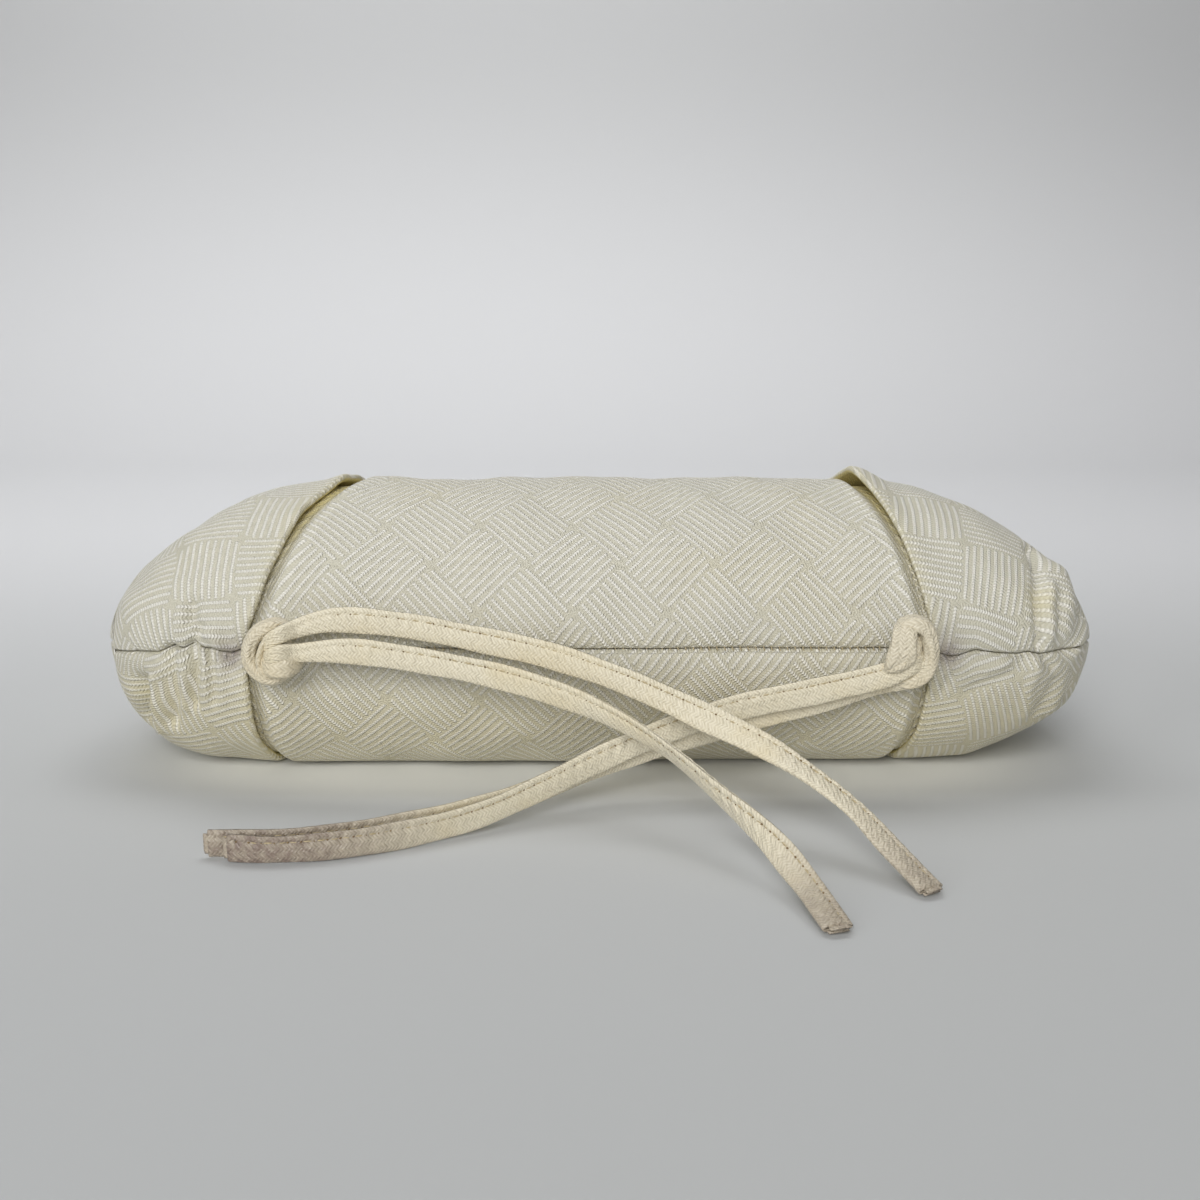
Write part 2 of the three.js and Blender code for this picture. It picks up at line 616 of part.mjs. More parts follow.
// Knots: rounded blocks on the base seam, beside the fold edges, backed by the nose.
function addKnot(name, knot, fold, side) {
  const outer = BAG_WIDTH / 2 - fold.seam - knot.fromFold;
  const inner = outer - knot.width;
  const halfWidth = knot.width / 2 - KNOT_CORNER;
  const halfHeight = (knot.below + KNOT_ABOVE) / 2 - KNOT_CORNER;
  const shape = new THREE.Shape();
  const corners = [
    [halfWidth, -halfHeight],
    [halfWidth, halfHeight],
    [-halfWidth, halfHeight],
    [-halfWidth, -halfHeight],
  ];
  corners.forEach(([x, z], k) => {
    const angle = (Math.PI / 2) * (k - 1);
    shape.absarc(x, z, KNOT_CORNER, angle, angle + Math.PI / 2, false);
  });
  shape.closePath();
  const geometry = new THREE.ExtrudeGeometry(shape, {
    depth: KNOT_DEPTH - 2 * KNOT_BEVEL,
    bevelThickness: KNOT_BEVEL,
    bevelSize: KNOT_BEVEL,
    bevelOffset: -KNOT_BEVEL,
    bevelSegments: KNOT_BEVEL_STEPS,
    curveSegments: KNOT_ARC_STEPS,
  });
  geometry.rotateX(Math.PI / 2);
  const backY = noseSetback(inner + KNOT_BEVEL) - CLEARANCE;
  const piece = addPiece(name, geometry, 'tie');
  const middleZ = SEAM_HEIGHT + (KNOT_ABOVE - knot.below) / 2;
  piece.position.set(side * (outer + inner) / 2, backY - KNOT_BEVEL, middleZ);
  return backY - KNOT_DEPTH;
}

const knotFronts = [
  addKnot('left_knot', LEFT_KNOT, LEFT_FOLD, -1),
  addKnot('right_knot', RIGHT_KNOT, RIGHT_FOLD, 1),
];

// Ties: points along the middle of each, from its knot to its free end on the table.
const smooth = THREE.MathUtils.smoothstep;
const turnFlat = (from, to) => (share) => (Math.PI / 2) * smooth(share, from, to);
const standing = () => 0;
const tieRoutes = {
  left_tie_upper: {
    turn: turnFlat(0.45, 0.85),
    points: [
      [-79.7, -6.3, 46.5], [-70.2, -6.6, 48.8], [-52, -7.2, 47.7], [-33.8, -8.6, 44.6],
      [-14.2, -11.5, 40.9], [5.1, -16.5, 35.6], [25.4, -24, 28.3], [44.5, -36, 21.7],
      [59.9, -50, 13.8], [68.5, -61, 6.8], [75.4, -71.8, 1.7],
    ],
  },
  left_tie_lower: {
    turn: turnFlat(0.6, 0.95),
    points: [
      [-80.2, -9, 40.6], [-65.3, -10.2, 41.4], [-44.3, -11.6, 38.8], [-20.7, -15, 34.4],
      [0, -20.5, 28.3], [15.1, -30, 22.3], [29, -47, 15.3], [39.5, -63, 10.1],
      [46.1, -76, 5.2], [51.2, -92, 1.6],
    ],
  },
  right_tie_front: {
    turn: standing,
    points: [
      [75.1, -8.8, 34.6], [57.9, -9, 30.4], [36.9, -9.6, 26.1], [21.1, -11, 21.4],
      [2.6, -15, 14.8], [-15.4, -24.5, 8.8], [-30.2, -34, 5.2], [-46.6, -43, 3.9],
      [-62.7, -50.2, 3.8], [-78.9, -53.3, 3.8], [-89.2, -52.1, 3.8],
    ],
  },
  right_tie_back: {
    turn: standing,
    points: [
      [75.6, -5.1, 32.1], [64, -5.4, 28.5], [54.2, -5.8, 25.7], [41.2, -6.3, 22.4],
      [33.5, -6.7, 19.9], [25.2, -7.2, 17.6], [17.7, -8.2, 15.9], [9.5, -9.6, 13.4],
      [2.6, -11.4, 11.9], [-5, -14.6, 10], [-16, -20.6, 7.2], [-31.6, -29.5, 5],
      [-48.6, -38.2, 3.9], [-64.6, -45.4, 3.8], [-80.2, -48.8, 3.8], [-94.6, -49.2, 3.8],
    ],
  },
};
for (const [name, route] of Object.entries(tieRoutes)) {
  const points = route.points.map(([x, y, z]) => new THREE.Vector3(x, y, z));
  addPiece(name, bandAlong(new BandCurve(points, route.turn), tieShape(), TIE_STEPS), 'tie');
}

// The row's origin is on the table, under the middle of everything but the ties.
const frontY = Math.min(...knotFronts);
const backY = bendY + strapX + STRAP_WIDTH / 2;
bag.position.y = -(frontY + backY) / 2;

bag.traverse((piece) => {
  if (piece.isMesh) {
    piece.geometry.deleteAttribute('normal');
    piece.geometry.deleteAttribute('uv');
    piece.geometry = mergeVertices(piece.geometry, MERGE_DISTANCE);
  }
});

export default bag;
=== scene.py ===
import math

import bmesh
import bpy
import numpy as np
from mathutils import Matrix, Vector


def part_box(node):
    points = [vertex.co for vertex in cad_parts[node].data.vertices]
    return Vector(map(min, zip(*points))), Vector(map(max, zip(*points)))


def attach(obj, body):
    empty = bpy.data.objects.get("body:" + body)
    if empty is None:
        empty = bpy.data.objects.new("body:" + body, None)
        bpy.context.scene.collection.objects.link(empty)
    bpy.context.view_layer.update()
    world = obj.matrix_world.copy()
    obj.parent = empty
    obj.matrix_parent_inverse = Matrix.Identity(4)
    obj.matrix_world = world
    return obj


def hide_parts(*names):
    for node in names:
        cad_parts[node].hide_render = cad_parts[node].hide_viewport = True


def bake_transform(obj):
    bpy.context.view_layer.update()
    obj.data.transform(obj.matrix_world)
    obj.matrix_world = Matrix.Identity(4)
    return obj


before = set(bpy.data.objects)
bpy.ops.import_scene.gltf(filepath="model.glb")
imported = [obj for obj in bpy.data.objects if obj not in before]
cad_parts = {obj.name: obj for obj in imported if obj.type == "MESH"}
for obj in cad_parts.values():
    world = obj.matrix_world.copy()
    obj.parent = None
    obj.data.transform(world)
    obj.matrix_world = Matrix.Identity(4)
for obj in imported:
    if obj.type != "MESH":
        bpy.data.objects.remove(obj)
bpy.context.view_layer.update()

bl_info = {
    "name": "Padded satin shoulder bag",
    "version": (1, 0, 0),
    "blender": (4, 5, 0),
    "location": "3D View > Sidebar > Bag",
    "description": "Fabric, folds, knots, ties and stitching of a small stuffed shoulder bag",
    "category": "Object",
}

MM = 0.001
QUARTER_TURN = math.pi / 2


def lowest(node):
    """Lowest corner of a node of the frame."""
    return np.array(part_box(node)[0])


def highest(node):
    """Highest corner of a node of the frame."""
    return np.array(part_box(node)[1])


# Body of the bag, from the frame where the frame has it. A fullness is the power of a
# superellipse, which is round at 2 and boxier above
SEAM_GAP = 0.15 * MM
BASE_Y = lowest("front_panel")[1]
MOUTH_Y = highest("back_panel")[1]
BAG_DEPTH = MOUTH_Y - BASE_Y
HALF_WIDTH = highest("right_corner_fold_front")[0]
SEAM_HEIGHT = highest("back_panel")[2] + SEAM_GAP
BODY_HEIGHT = highest("front_panel")[2] - SEAM_GAP
NOSE_DEPTH = 48 * MM
CORNER_REACH = 66 * MM
MOUTH_HEIGHT = 30 * MM
RIM_HEIGHT = MOUTH_HEIGHT / 2
MOUTH_TAPER = 30 * MM
TABLE_FLATTENING = 3 * MM
TAPER_POWER = 1.4
PLAN_FULLNESS = 3.3
CROWN_FULLNESS = 1.8
LEFT_SAG_FULLNESS = 2.85
RIGHT_SAG_FULLNESS = 2.25
HALF_FLAT = HALF_WIDTH - CORNER_REACH
LAST_ARC = HALF_FLAT + CORNER_REACH * QUARTER_TURN
NOSE_LENGTH = 68.6 * MM
BODY_LENGTH = math.hypot(BAG_DEPTH - NOSE_DEPTH, BODY_HEIGHT - MOUTH_HEIGHT)

# Layers: the gap between two of them, their walls, how deep they lie, the depth of the mouth's
# facing, and the pocket's round rim and hem
CLEARANCE = 0.3 * MM
FOLD_WALL = 2.2 * MM
PANEL_WALL = 2.2 * MM
LINING_WALL = 0.8 * MM
UNDER_FOLD = FOLD_WALL + CLEARANCE
LINING_INSET = PANEL_WALL + CLEARANCE
FACING_DEPTH = 24 * MM
POCKET_RIM = 0.5 * MM
POCKET_HEM = 9 * MM

# Creases, gathers and lumps of the folded corners: a line in millimetres from the middle
# of the base seam, the width of the bell across it, and its height or depth
LEFT_MARKS = [
    ([(-110.2, 5, 49.8), (-110.1, 3.6, 46.4)], 1.9, -3.0),
    ([(-107.5, 2.4, 44.2), (-108.4, 2.6, 42)], 1.3, -2.4),
    ([(-105.4, 1.7, 42.8), (-102.6, 1.2, 41)], 1.5, 1.7),
    ([(-112.8, 4.5, 47), (-113.6, 4, 41)], 2.2, 1.2),
    ([(-127, 8.5, 26), (-127.5, 11, 20), (-127.5, 17, 13)], 4.4, -5.0),
    ([(-121.2, 6, 31), (-122.4, 7.5, 23), (-122.8, 14, 13)], 1.8, 2.8),
    ([(-123.6, 7, 29), (-124.8, 9, 22), (-125.2, 15, 14)], 1.2, -2.2),
    ([(-117, 3.9, 37.5), (-116.3, 4.4, 31), (-116.4, 4.8, 24), (-118, 8.5, 16)], 2.0, -3.3),
    ([(-113.3, 3, 37.5), (-112.8, 3.4, 30), (-113, 4.6, 22)], 1.5, 1.5),
    ([(-109.9, 2.3, 38.5), (-109, 2, 32.8), (-110.4, 3.7, 23)], 1.4, -2.8),
    ([(-106.8, 1.8, 38), (-106.4, 1.6, 31.6), (-106.4, 3, 25)], 1.3, 1.3),
    ([(-104.8, 1.4, 38), (-104.2, 1.3, 30.9), (-104.2, 2.6, 25)], 1.2, -1.5),
    ([(-102, 1.2, 37.5), (-101.7, 1.1, 30.4), (-102, 2.6, 24)], 1.4, 0.9),
    ([(-99.5, 0.8, 42), (-96.5, 0.5, 39), (-98, 0.8, 35)], 3.0, -1.2),
]
RIGHT_MARKS = [
    ([(120.6, 26, 61), (120.4, 16.8, 56), (118.4, 10.2, 51), (118.4, 6.7, 46.3), (118.8, 4.9, 41)],
     1.6, -2.9),
    ([(122.8, 14, 54), (121.8, 8, 48.5), (121.6, 6, 43)], 2.1, 1.8),
    ([(125.4, 12.5, 51), (124.9, 8, 44.5)], 1.4, -1.4),
    ([(128, 22, 55), (127.6, 14.2, 49)], 4.6, 2.4),
    ([(125, 8, 46), (128, 9, 43)], 2.2, 1.4),
    ([(131, 16, 46.5), (136, 22, 43.4)], 1.5, -2.0),
    ([(134.6, 16, 40.5), (131, 12, 36)], 2.8, 1.6),
    ([(121.3, 5.6, 36), (123.5, 6.4, 33.5)], 1.8, -2.0),
    ([(115.3, 3.4, 37), (108, 2.4, 31.5), (99.8, 1.7, 27.3)], 2.0, -0.9),
    ([(118.5, 4.6, 34.5), (116.5, 4.6, 27), (117.5, 8, 18)], 2.0, 1.0),
    ([(109, 2, 36), (104, 1.6, 33)], 1.8, 0.7),
    ([(94.3, 0.5, 33), (92.5, 0.5, 28)], 2.0, -0.8),
    ([(124.5, 8, 28), (121.5, 10, 18)], 2.4, -1.1),
    ([(128, 12, 30), (125.5, 14, 19)], 2.6, 0.9),
]
# Soft drag lines of the panels beside the knots, as for the folded corners
PANEL_MARKS = [
    ([(-84, 0.4, 50), (-74, 1, 52.5)], 2.2, -1.6),
    ([(-88, 1, 54), (-78, 1.6, 58)], 2.4, 0.9),
    ([(-82, 0.4, 31), (-70, 0.6, 28)], 2.6, -1.1),
    ([(82, 0.4, 50), (64, 1, 49.5)], 2.4, -1.3),
    ([(76, 0.5, 27), (60, 0.8, 23)], 3.0, -1.0),
]
# Distances from the base seam between which all of them fade out
MARKS_FADE = (48 * MM, 75 * MM)
# Height above the table at which a back piece's relief has come in fully
TABLE_TOUCH = 3 * MM

# Dirt marks beside the knots, in millimetres from the middle of the base seam
LEFT_DIRT = [(-98.8, 0.6, 38.3)]
RIGHT_DIRT = [(93.2, 0.3, 39.6)]

# How far the sewn base seam wanders up or down along the folded corners, in millimetres
SEAM_WANDER = [
    (-136, -2.4), (-127, -1.7), (-120, -1.6), (-114.5, 0.5), (-112, 0), (-109, 1.3), (-106, 0),
    (-103, -0.5), (-99, -1.3), (-95, 0), (88, 0), (91.3, -1.3), (94, -2.3), (96.7, -1.9), (100.7, -0.5),
    (107.4, -1.3), (112.8, -1.7), (116, -1.3), (119.5, -2), (126, -1.3), (134, -0.3), (137, 0),
]
# Height above and below the seam over which its wander fades, and where it fades along the sides
WANDER_HEIGHT = 8 * MM
WANDER_FADE = (25 * MM, 45 * MM)

# Folded corners: how far in from the bag's end the fold edge lies at the base seam and on both
# crests, how far its lip leans in over the panel, how its cloth was cut, in degrees from the base
# seam, and its creases, dirt and aged places, which are painted warm shade in its hollows and creases
# Each fold's aged places are painted warm shade: a deep hollow on the left, a crease on the right
LEFT_FOLD = {"name": "left", "side": -1, "seam": 44 * MM, "top": 67.6 * MM, "bottom": 57.4 * MM,
             "lean": -1.2 * MM, "grain": {"front": 14, "back": 49}, "marks": LEFT_MARKS, "dirt": LEFT_DIRT,
             "aged": [(-127.5, 10, 21)]}
RIGHT_FOLD = {"name": "right", "side": 1, "seam": 50 * MM, "top": 66.2 * MM, "bottom": 63 * MM,
              "lean": 1.2 * MM, "grain": {"front": -4, "back": 2}, "marks": RIGHT_MARKS, "dirt": RIGHT_DIRT,
              "aged": [(119.5, 9, 51)]}
# The fold edge's distance from the end at the mouth, its gap to the panel's step, the length of
# that step, and the spread of a dirt mark and of an aged place, painted warm shade, on the fold
FOLD_MOUTH = 80 * MM
FOLD_SIDE_CLEARANCE = 0.6 * MM
FOLD_STEP = 4.5 * MM
DIRT_SPREAD = 4 * MM
HOLLOW_SHADE_SPREAD = 4.5 * MM
# Stands for the distance of the bag's middle from any fold edge, which is a long way
FAR_FROM_FOLDS = 0.1

# Base seam's stitches: how far past the straight middle they run at the left and the right, how
# deep they lie in the groove, and how much they lean
SEAM_PAST_LEFT = 8 * MM
SEAM_PAST_RIGHT = 2 * MM
SEAM_STITCH_DEEP = 1.45 * MM
SEAM_STITCH_LEAN = 0.35

# Usual widths of a folded corner and of one half of the bare panel, which set how many columns
# of points they get
FOLD_SPAN = 100 * MM
BARE_SPAN = 72 * MM

# Ties, by their middle lines from the knot to the cut end, in millimetres from the base seam
TIE_WIDTH = 7 * MM
TIE_THICKNESS = 2.4 * MM
TIE_ROUTES = {
    "left_tie_upper": [
        (-79.7, -6.3, 46.5), (-70.2, -6.6, 48.8), (-52, -7.2, 47.7), (-33.8, -8.6, 44.6),
        (-14.2, -11.5, 40.9), (5.1, -16.5, 35.6), (25.4, -24, 28.3), (44.5, -36, 21.7),
        (59.9, -50, 13.8), (68.5, -61, 6.8), (75.4, -71.8, 1.7),
    ],
    "left_tie_lower": [
        (-80.2, -9, 40.6), (-65.3, -10.2, 41.4), (-44.3, -11.6, 38.8), (-20.7, -15, 34.4),
        (0, -20.5, 28.3), (15.1, -30, 22.3), (29, -47, 15.3), (39.5, -63, 10.1),
        (46.1, -76, 5.2), (51.2, -92, 1.6),
    ],
    "right_tie_front": [
        (75.1, -8.8, 34.6), (57.9, -9, 30.4), (36.9, -9.6, 26.1), (21.1, -11, 21.4),
        (2.6, -15, 14.8), (-15.4, -24.5, 8.8), (-30.2, -34, 5.2), (-46.6, -43, 3.9),
        (-62.7, -50.2, 3.8), (-78.9, -53.3, 3.8), (-89.2, -52.1, 3.8),
    ],
    "right_tie_back": [
        (75.6, -5.1, 32.1), (64, -5.4, 28.5), (54.2, -5.8, 25.7), (41.2, -6.3, 22.4),
        (33.5, -6.7, 19.9), (25.2, -7.2, 17.6), (17.7, -8.2, 15.9), (9.5, -9.6, 13.4),
        (2.6, -11.4, 11.9), (-5, -14.6, 10), (-16, -20.6, 7.2), (-31.6, -29.5, 5),
        (-48.6, -38.2, 3.9), (-64.6, -45.4, 3.8), (-80.2, -48.8, 3.8), (-94.6, -49.2, 3.8),
    ],
}
# Where each tie comes from inside its knot
TIE_ROOTS = {
    "left_tie_upper": [(-87.6, -5, 40.2), (-86.8, -8.2, 42.8), (-83.8, -8.6, 45.2)],
    "left_tie_lower": [(-86.8, -6.5, 38.2), (-86.2, -10.2, 39.6), (-83.6, -11, 41)],
    "right_tie_front": [(86, -5, 38.5), (82.5, -8.5, 37.4)],
    "right_tie_back": [(87, -5.5, 39.5), (85, -7.6, 35.8), (81, -7, 33.4)],
}
# Shares of its length between which a tie turns from standing on its edge to lying flat, and
# the middle, the run and the angle in radians of a turn the other way before that
TIE_TURNS = {
    "left_tie_upper": (0.45, 0.85, 0.5, 0.2, 0.0),
    "left_tie_lower": (0.72, 0.98, 0.58, 0.17, -0.5),
}
# The same for a tie that stands on its edge all along
NO_TURN = (2, 3, 2, 1, 0)
# Distance of a tie's stitching from its upper edge, and how far from the knot's middle and from
# the cut end it begins and ends
TIE_SEAM_IN = 1.7 * MM
TIE_STITCH_FROM = 14 * MM
TIE_STITCH_TO = 2 * MM
# Share of its full width that a tie has inside its knot
TIE_GATHERED = 0.58
# Length over which each tie spreads from its knot to its full width
TIE_SPREAD = {
    "left_tie_upper": 34 * MM,
    "left_tie_lower": 34 * MM,
    "right_tie_front": 15 * MM,
    "right_tie_back": 15 * MM,
}
# Where a tie's stains begin and are full, as shares of its length, and how strong they are
TIE_STAINS = {
    "left_tie_upper": (0.8, 1.0, 0.6),
    "left_tie_lower": (0.78, 1.0, 0.65),
    "right_tie_front": (0.62, 0.95, 0.95),
    "right_tie_back": (0.6, 0.9, 0.8),
}
# Folded layers in a cut end: how far through it and out of it each stands in millimetres, and its
# share of the tie's width
END_LAYERS = [(-0.52, 0.9, 0.72), (0.02, 0.5, 0.6), (0.5, 1.3, 0.66)]

# Turns of the knots: points in millimetres from the middle of the base seam, the direction
# of the band's width, the width and the thickness in millimetres, and how square its edges are
LEFT_KNOT_BANDS = [
    ([(-82.5, -3, 47), (-86.2, -5.2, 47.1), (-89.8, -5.8, 45.4), (-92, -5.8, 42), (-92.3, -5.8, 38.6),
      (-91, -6, 35.8), (-88.6, -6.3, 33.9), (-86, -6.4, 33.3), (-83.4, -5.8, 34.6), (-82, -3, 36)],
     (0, 1, 0), (6.4, 6.4), 4.1, 2.6),
    ([(-84, -3, 46.2), (-86.4, -6.4, 44.6), (-88.3, -8, 41.2), (-88.9, -8.4, 37.6), (-87.6, -8.2, 35),
      (-85.4, -6.8, 34), (-83, -3.6, 34.6)], (0.3, 1, 0), (4.4, 4.4), 1.9, 2.2),
    ([(-89, -4, 38.2), (-87.6, -8.6, 37.7), (-85.2, -10.8, 37.1), (-82.4, -10.8, 36.9),
      (-80.2, -8.4, 37.3), (-79.4, -4, 38)], (0.05, 0.12, 1), (5.4, 5.8), 3.2, 2.2),
    ([(-89.5, -3.4, 39), (-85.5, -4.4, 39.2), (-81.4, -3.6, 39.2)], (0, 0, 1), (9.5, 9.5), 6, 2.0),
]
RIGHT_KNOT_BANDS = [
    ([(79.2, -2.5, 44.9), (80.4, -5.2, 46.9), (82.9, -6, 47.7), (85.4, -6, 46.3), (86.6, -6, 42.7),
      (86.9, -6, 39), (86.2, -6, 35.6), (84.1, -6, 33.3), (81.4, -5.6, 32.2), (79.2, -3.5, 32)],
     (0, 1, 0), (7, 7), 4.6, 2.8),
    ([(82.6, -3, 45.6), (83.1, -7, 43), (83, -8, 40), (82.2, -7.4, 36.6)],
     (1, 0.2, 0.1), (2.4, 2.4), 2, 2.2),
    ([(80.4, -3, 47.4), (79.6, -8.2, 46.4), (79, -10.4, 43.4), (78.4, -11, 40.2), (78, -10.4, 38),
      (78, -7.6, 37.2)], (1, 0.1, 0.22), (5, 8.6), 2.3, 4),
    ([(73.8, -8.8, 35.9), (77.2, -11.2, 36.9), (80.2, -10.9, 38.3), (82.8, -8.6, 40)],
     (0.4, 0.3, -0.9), (2, 2.4), 1.5, 2.2),
    ([(78.8, -4, 39.2), (82.5, -4.6, 39.4), (86, -3.6, 39.4)], (0, 0, 1), (10, 10), 6, 2.0),
]

# Closing flap: its side view from the back lip to the top of its upright run, as distances from
# the base seam and heights in millimetres
FLAP_PATH = [(166.4, 1.1), (169.4, 2.7), (170.6, 9), (170.6, 28)]
# Its reach over the front panel and its middle's height above it in millimetres, and the shares
# of that reach at which its side view has a point
FLAP_REACH = 40
FLAP_ABOVE = 4.4
FLAP_SHARES = (0.05, 0.3, 0.55, 0.8, 1)
# Its wall, its round corners, and its stitching's distance from the edge and spacing
FLAP_WALL = 2.2 * MM
FLAP_CORNER = 12 * MM
FLAP_STITCH_IN = 3.2 * MM
FLAP_STITCH = 2.6 * MM

# Snap: its distance in millimetres from the base seam, and its profiles as radii and heights in
# millimetres above the panel
SNAP_Y = 138
SNAP_STUD = [
    (0.5, 0), (6.6, 0), (7, 0.3), (7, 0.8), (6.6, 1.15), (5.2, 1.2), (4.4, 1.05), (2.6, 1.1),
    (2.35, 1.3), (2.35, 1.75), (2.0, 2.0), (0.7, 2.0), (0.5, 1.8),
]
SNAP_SOCKET = [(4, 1.8), (4.3, 1.55), (6.6, 1.5), (7, 1.8), (7, 2.4), (6.6, 2.7), (4.4, 2.65), (4, 2.4)]
SNAP_SIDES = 64

# Webbing of the tabs and strap ends: its wall, each flat layer's height from their common middle,
# the radius of its loop round a ring's rod, and its stitches' distance from that rod
WEB_WALL = 1.1 * MM
WEB_LAYER = 0.55 * MM
LOOP_MIDDLE = 2.6 * MM
LOOP_SEAM = 4.6 * MM
# Rings: the radii of their rod and of their corners, and the points round the rod
RING_ROD = 1.2 * MM
RING_CORNER = 1.6 * MM
RING_SIDES = 20

# Shoulder strap: its section, its height on the table, its way down to the table as distances
# from the ring's end and heights in millimetres, and where its half circle begins
STRAP_WIDTH = 10 * MM
STRAP_THICKNESS = 5 * MM
STRAP_REST = 3.006 * MM
STRAP_DROP = [(0, 15), (7.44, 15), (26.04, 10.44), (44.64, 4.92), (62, 3.006), (84.5, 3.006)]
STRAP_BEND_FROM = 107

# Camera, as the photograph was taken: distance before the base seam, height, tilt and lens
CAMERA_DISTANCE = 404 * MM
CAMERA_HEIGHT = 146 * MM
CAMERA_TILT = math.radians(13)
CAMERA_SENSOR = 36.0
CAMERA_LENS = 46.9

# Lamps: the setting that holds its power, its place and the point it faces from the middle of
# the base seam, its size in metres and its colour; then the colour of the light all round
LAMPS = [
    ("key_lamp", "key", (-0.25, -1.4, 0.9), (0, 0, 0.03), 0.8, (1, 1, 1)),
    ("left_lamp", "left", (-1.1, -0.9, 0.5), (0, 0, 0.03), 0.7, (1, 1, 1)),
    ("low_lamp", "low", (0.5, -1.6, 0.22), (0, 0, 0.03), 1.0, (1, 0.96, 0.89)),
    ("overhead_lamp", "overhead", (0.5, 0.35, 1.1), (0, 0, 0.03), 0.6, (1, 1, 1)),
    ("backdrop_lamp", "behind", (-0.15, 0.4, 0.85), (-0.1, 0.95, 0.0), 0.8, (1, 1, 1)),
]

SURROUND_TONE = (1.0, 0.98, 0.94, 1.0)

# Studio paper in metres: how far it runs before and behind the base seam, the radius of its bend,
# its height and half its width
PAPER_FRONT = 6.0
PAPER_BEHIND = 0.62
PAPER_BEND = 0.5
PAPER_TOP = 2.2
PAPER_HALF = 5.0
# How far the paper's tones, painted light and shade, take to turn: each way across, behind the base seam,
# and upwards
TONE_ACROSS = 0.5
TONE_BEHIND = 0.4
TONE_UP = (0.03, 0.35)
# The paper's lighter place under the bag, a painted pool of light over the bag's shadow: its half
# sizes, its middle behind the seam, and the shares of those sizes at which it begins and is full
FOOT_ACROSS = 135 * MM
FOOT_DEEP = 70 * MM
FOOT_MIDDLE = 60 * MM
FOOT_EDGE = (1.1, 0.82)


def lerp(a, b, share):
    """Value at a share of the way from a to b."""
    return a + (b - a) * share


def smooth(x, start, end):
    """Smooth step: nothing before start, 1 after end, 3t^2 - 2t^3 between."""
    t = np.clip((x - start) / (end - start), 0, 1)
    return t * t * (3 - 2 * t)


def unit(vectors):
    """Vectors divided by their lengths."""
    return vectors / np.maximum(np.linalg.norm(vectors, axis=-1, keepdims=True), 1e-12)


def from_seam(points):
    """Points in millimetres from the middle of the base seam, put in the frame in metres."""
    return np.asarray(points, float) * MM + np.array([0, BASE_Y, 0])


def waves(points, size, seed, count=9):
    """Soft unevenness, mostly between -1 and 1: the sum of sines of seeded directions and
    phases, each about as long as size, over the root of their number."""
    rng = np.random.default_rng(seed)
    directions = unit(rng.normal(size=(count, 3))) * rng.uniform(0.7, 1.5, (count, 1))
    phases = rng.uniform(0, 2 * math.pi, count)
    angles = np.tensordot(points, directions.T, axes=1) * (2 * math.pi / size) + phases
    return np.sin(angles).sum(-1) / math.sqrt(count)


def smooth_path(points, spacing):
    """Centripetal Catmull-Rom curve through the points, at an even spacing along it."""
    p = np.asarray(points, float)
    p = np.vstack([2 * p[0] - p[1], p, 2 * p[-1] - p[-2]])
    knots = np.concatenate([[0], np.cumsum(np.sqrt(np.linalg.norm(np.diff(p, axis=0), axis=1)))])
    t = np.linspace(knots[1], knots[-2], 24 * len(p))
    k = np.clip(np.searchsorted(knots, t, side="right") - 1, 1, len(p) - 3)
    ts = [knots[k + j][:, None] for j in (-1, 0, 1, 2)]
    ps = [p[k + j] for j in (-1, 0, 1, 2)]
    t = t[:, None]
    a = [((ts[j + 1] - t) * ps[j] + (t - ts[j]) * ps[j + 1]) / (ts[j + 1] - ts[j]) for j in range(3)]
    b = [((ts[j + 2] - t) * a[j] + (t - ts[j]) * a[j + 1]) / (ts[j + 2] - ts[j]) for j in range(2)]
    curve = ((ts[2] - t) * b[0] + (t - ts[1]) * b[1]) / (ts[2] - ts[1])
    return evenly(curve, spacing)


def distances(line):
    """Distance of each point of a line from its start, along the line."""
    return np.concatenate([[0], np.cumsum(np.linalg.norm(np.diff(line, axis=0), axis=1))])


def sampled(field, along, at):
    """A line's field read off at other distances along it, straight between its points."""
    return np.stack([np.interp(at, along, field[:, k]) for k in range(field.shape[1])], axis=1)


def evenly(line, spacing):
    """The same line with its points an even distance apart."""
    along = distances(line)
    count = max(int(round(along[-1] / spacing)), 2) + 1
    return sampled(line, along, np.linspace(0, along[-1], count))


def tangents(line):
    """Unit directions along a line, from the points on both sides of each point."""
    return unit(np.gradient(line, axis=0))


# Shape of the stuffed body

def seam_line(y):
    """Height of the seam between front and back: falls evenly from the base to the mouth."""
    return lerp(SEAM_HEIGHT, RIM_HEIGHT, (y - BASE_Y) / BAG_DEPTH)


def crest_line(share):
    """Top of the front panel: falls from the nose to the mouth by a power of the share."""
    return lerp(BODY_HEIGHT, MOUTH_HEIGHT, np.power(share, TAPER_POWER))


def full_length(a, b, fullness):
    """Length of two parts by a fullness: the root of the sum of their powers, usual at 2."""
    return np.power(np.power(a, fullness) + np.power(b, fullness), 1 / fullness)


def section_fullness(place, face):
    """Fullness of the section: the crown's, or on the back the left sag's turning evenly into
    the right's as the place goes from -1 to 1."""
    sag = lerp(LEFT_SAG_FULLNESS, RIGHT_SAG_FULLNESS, (place + 1) / 2)
    return CROWN_FULLNESS + 0 * sag if face == "front" else sag


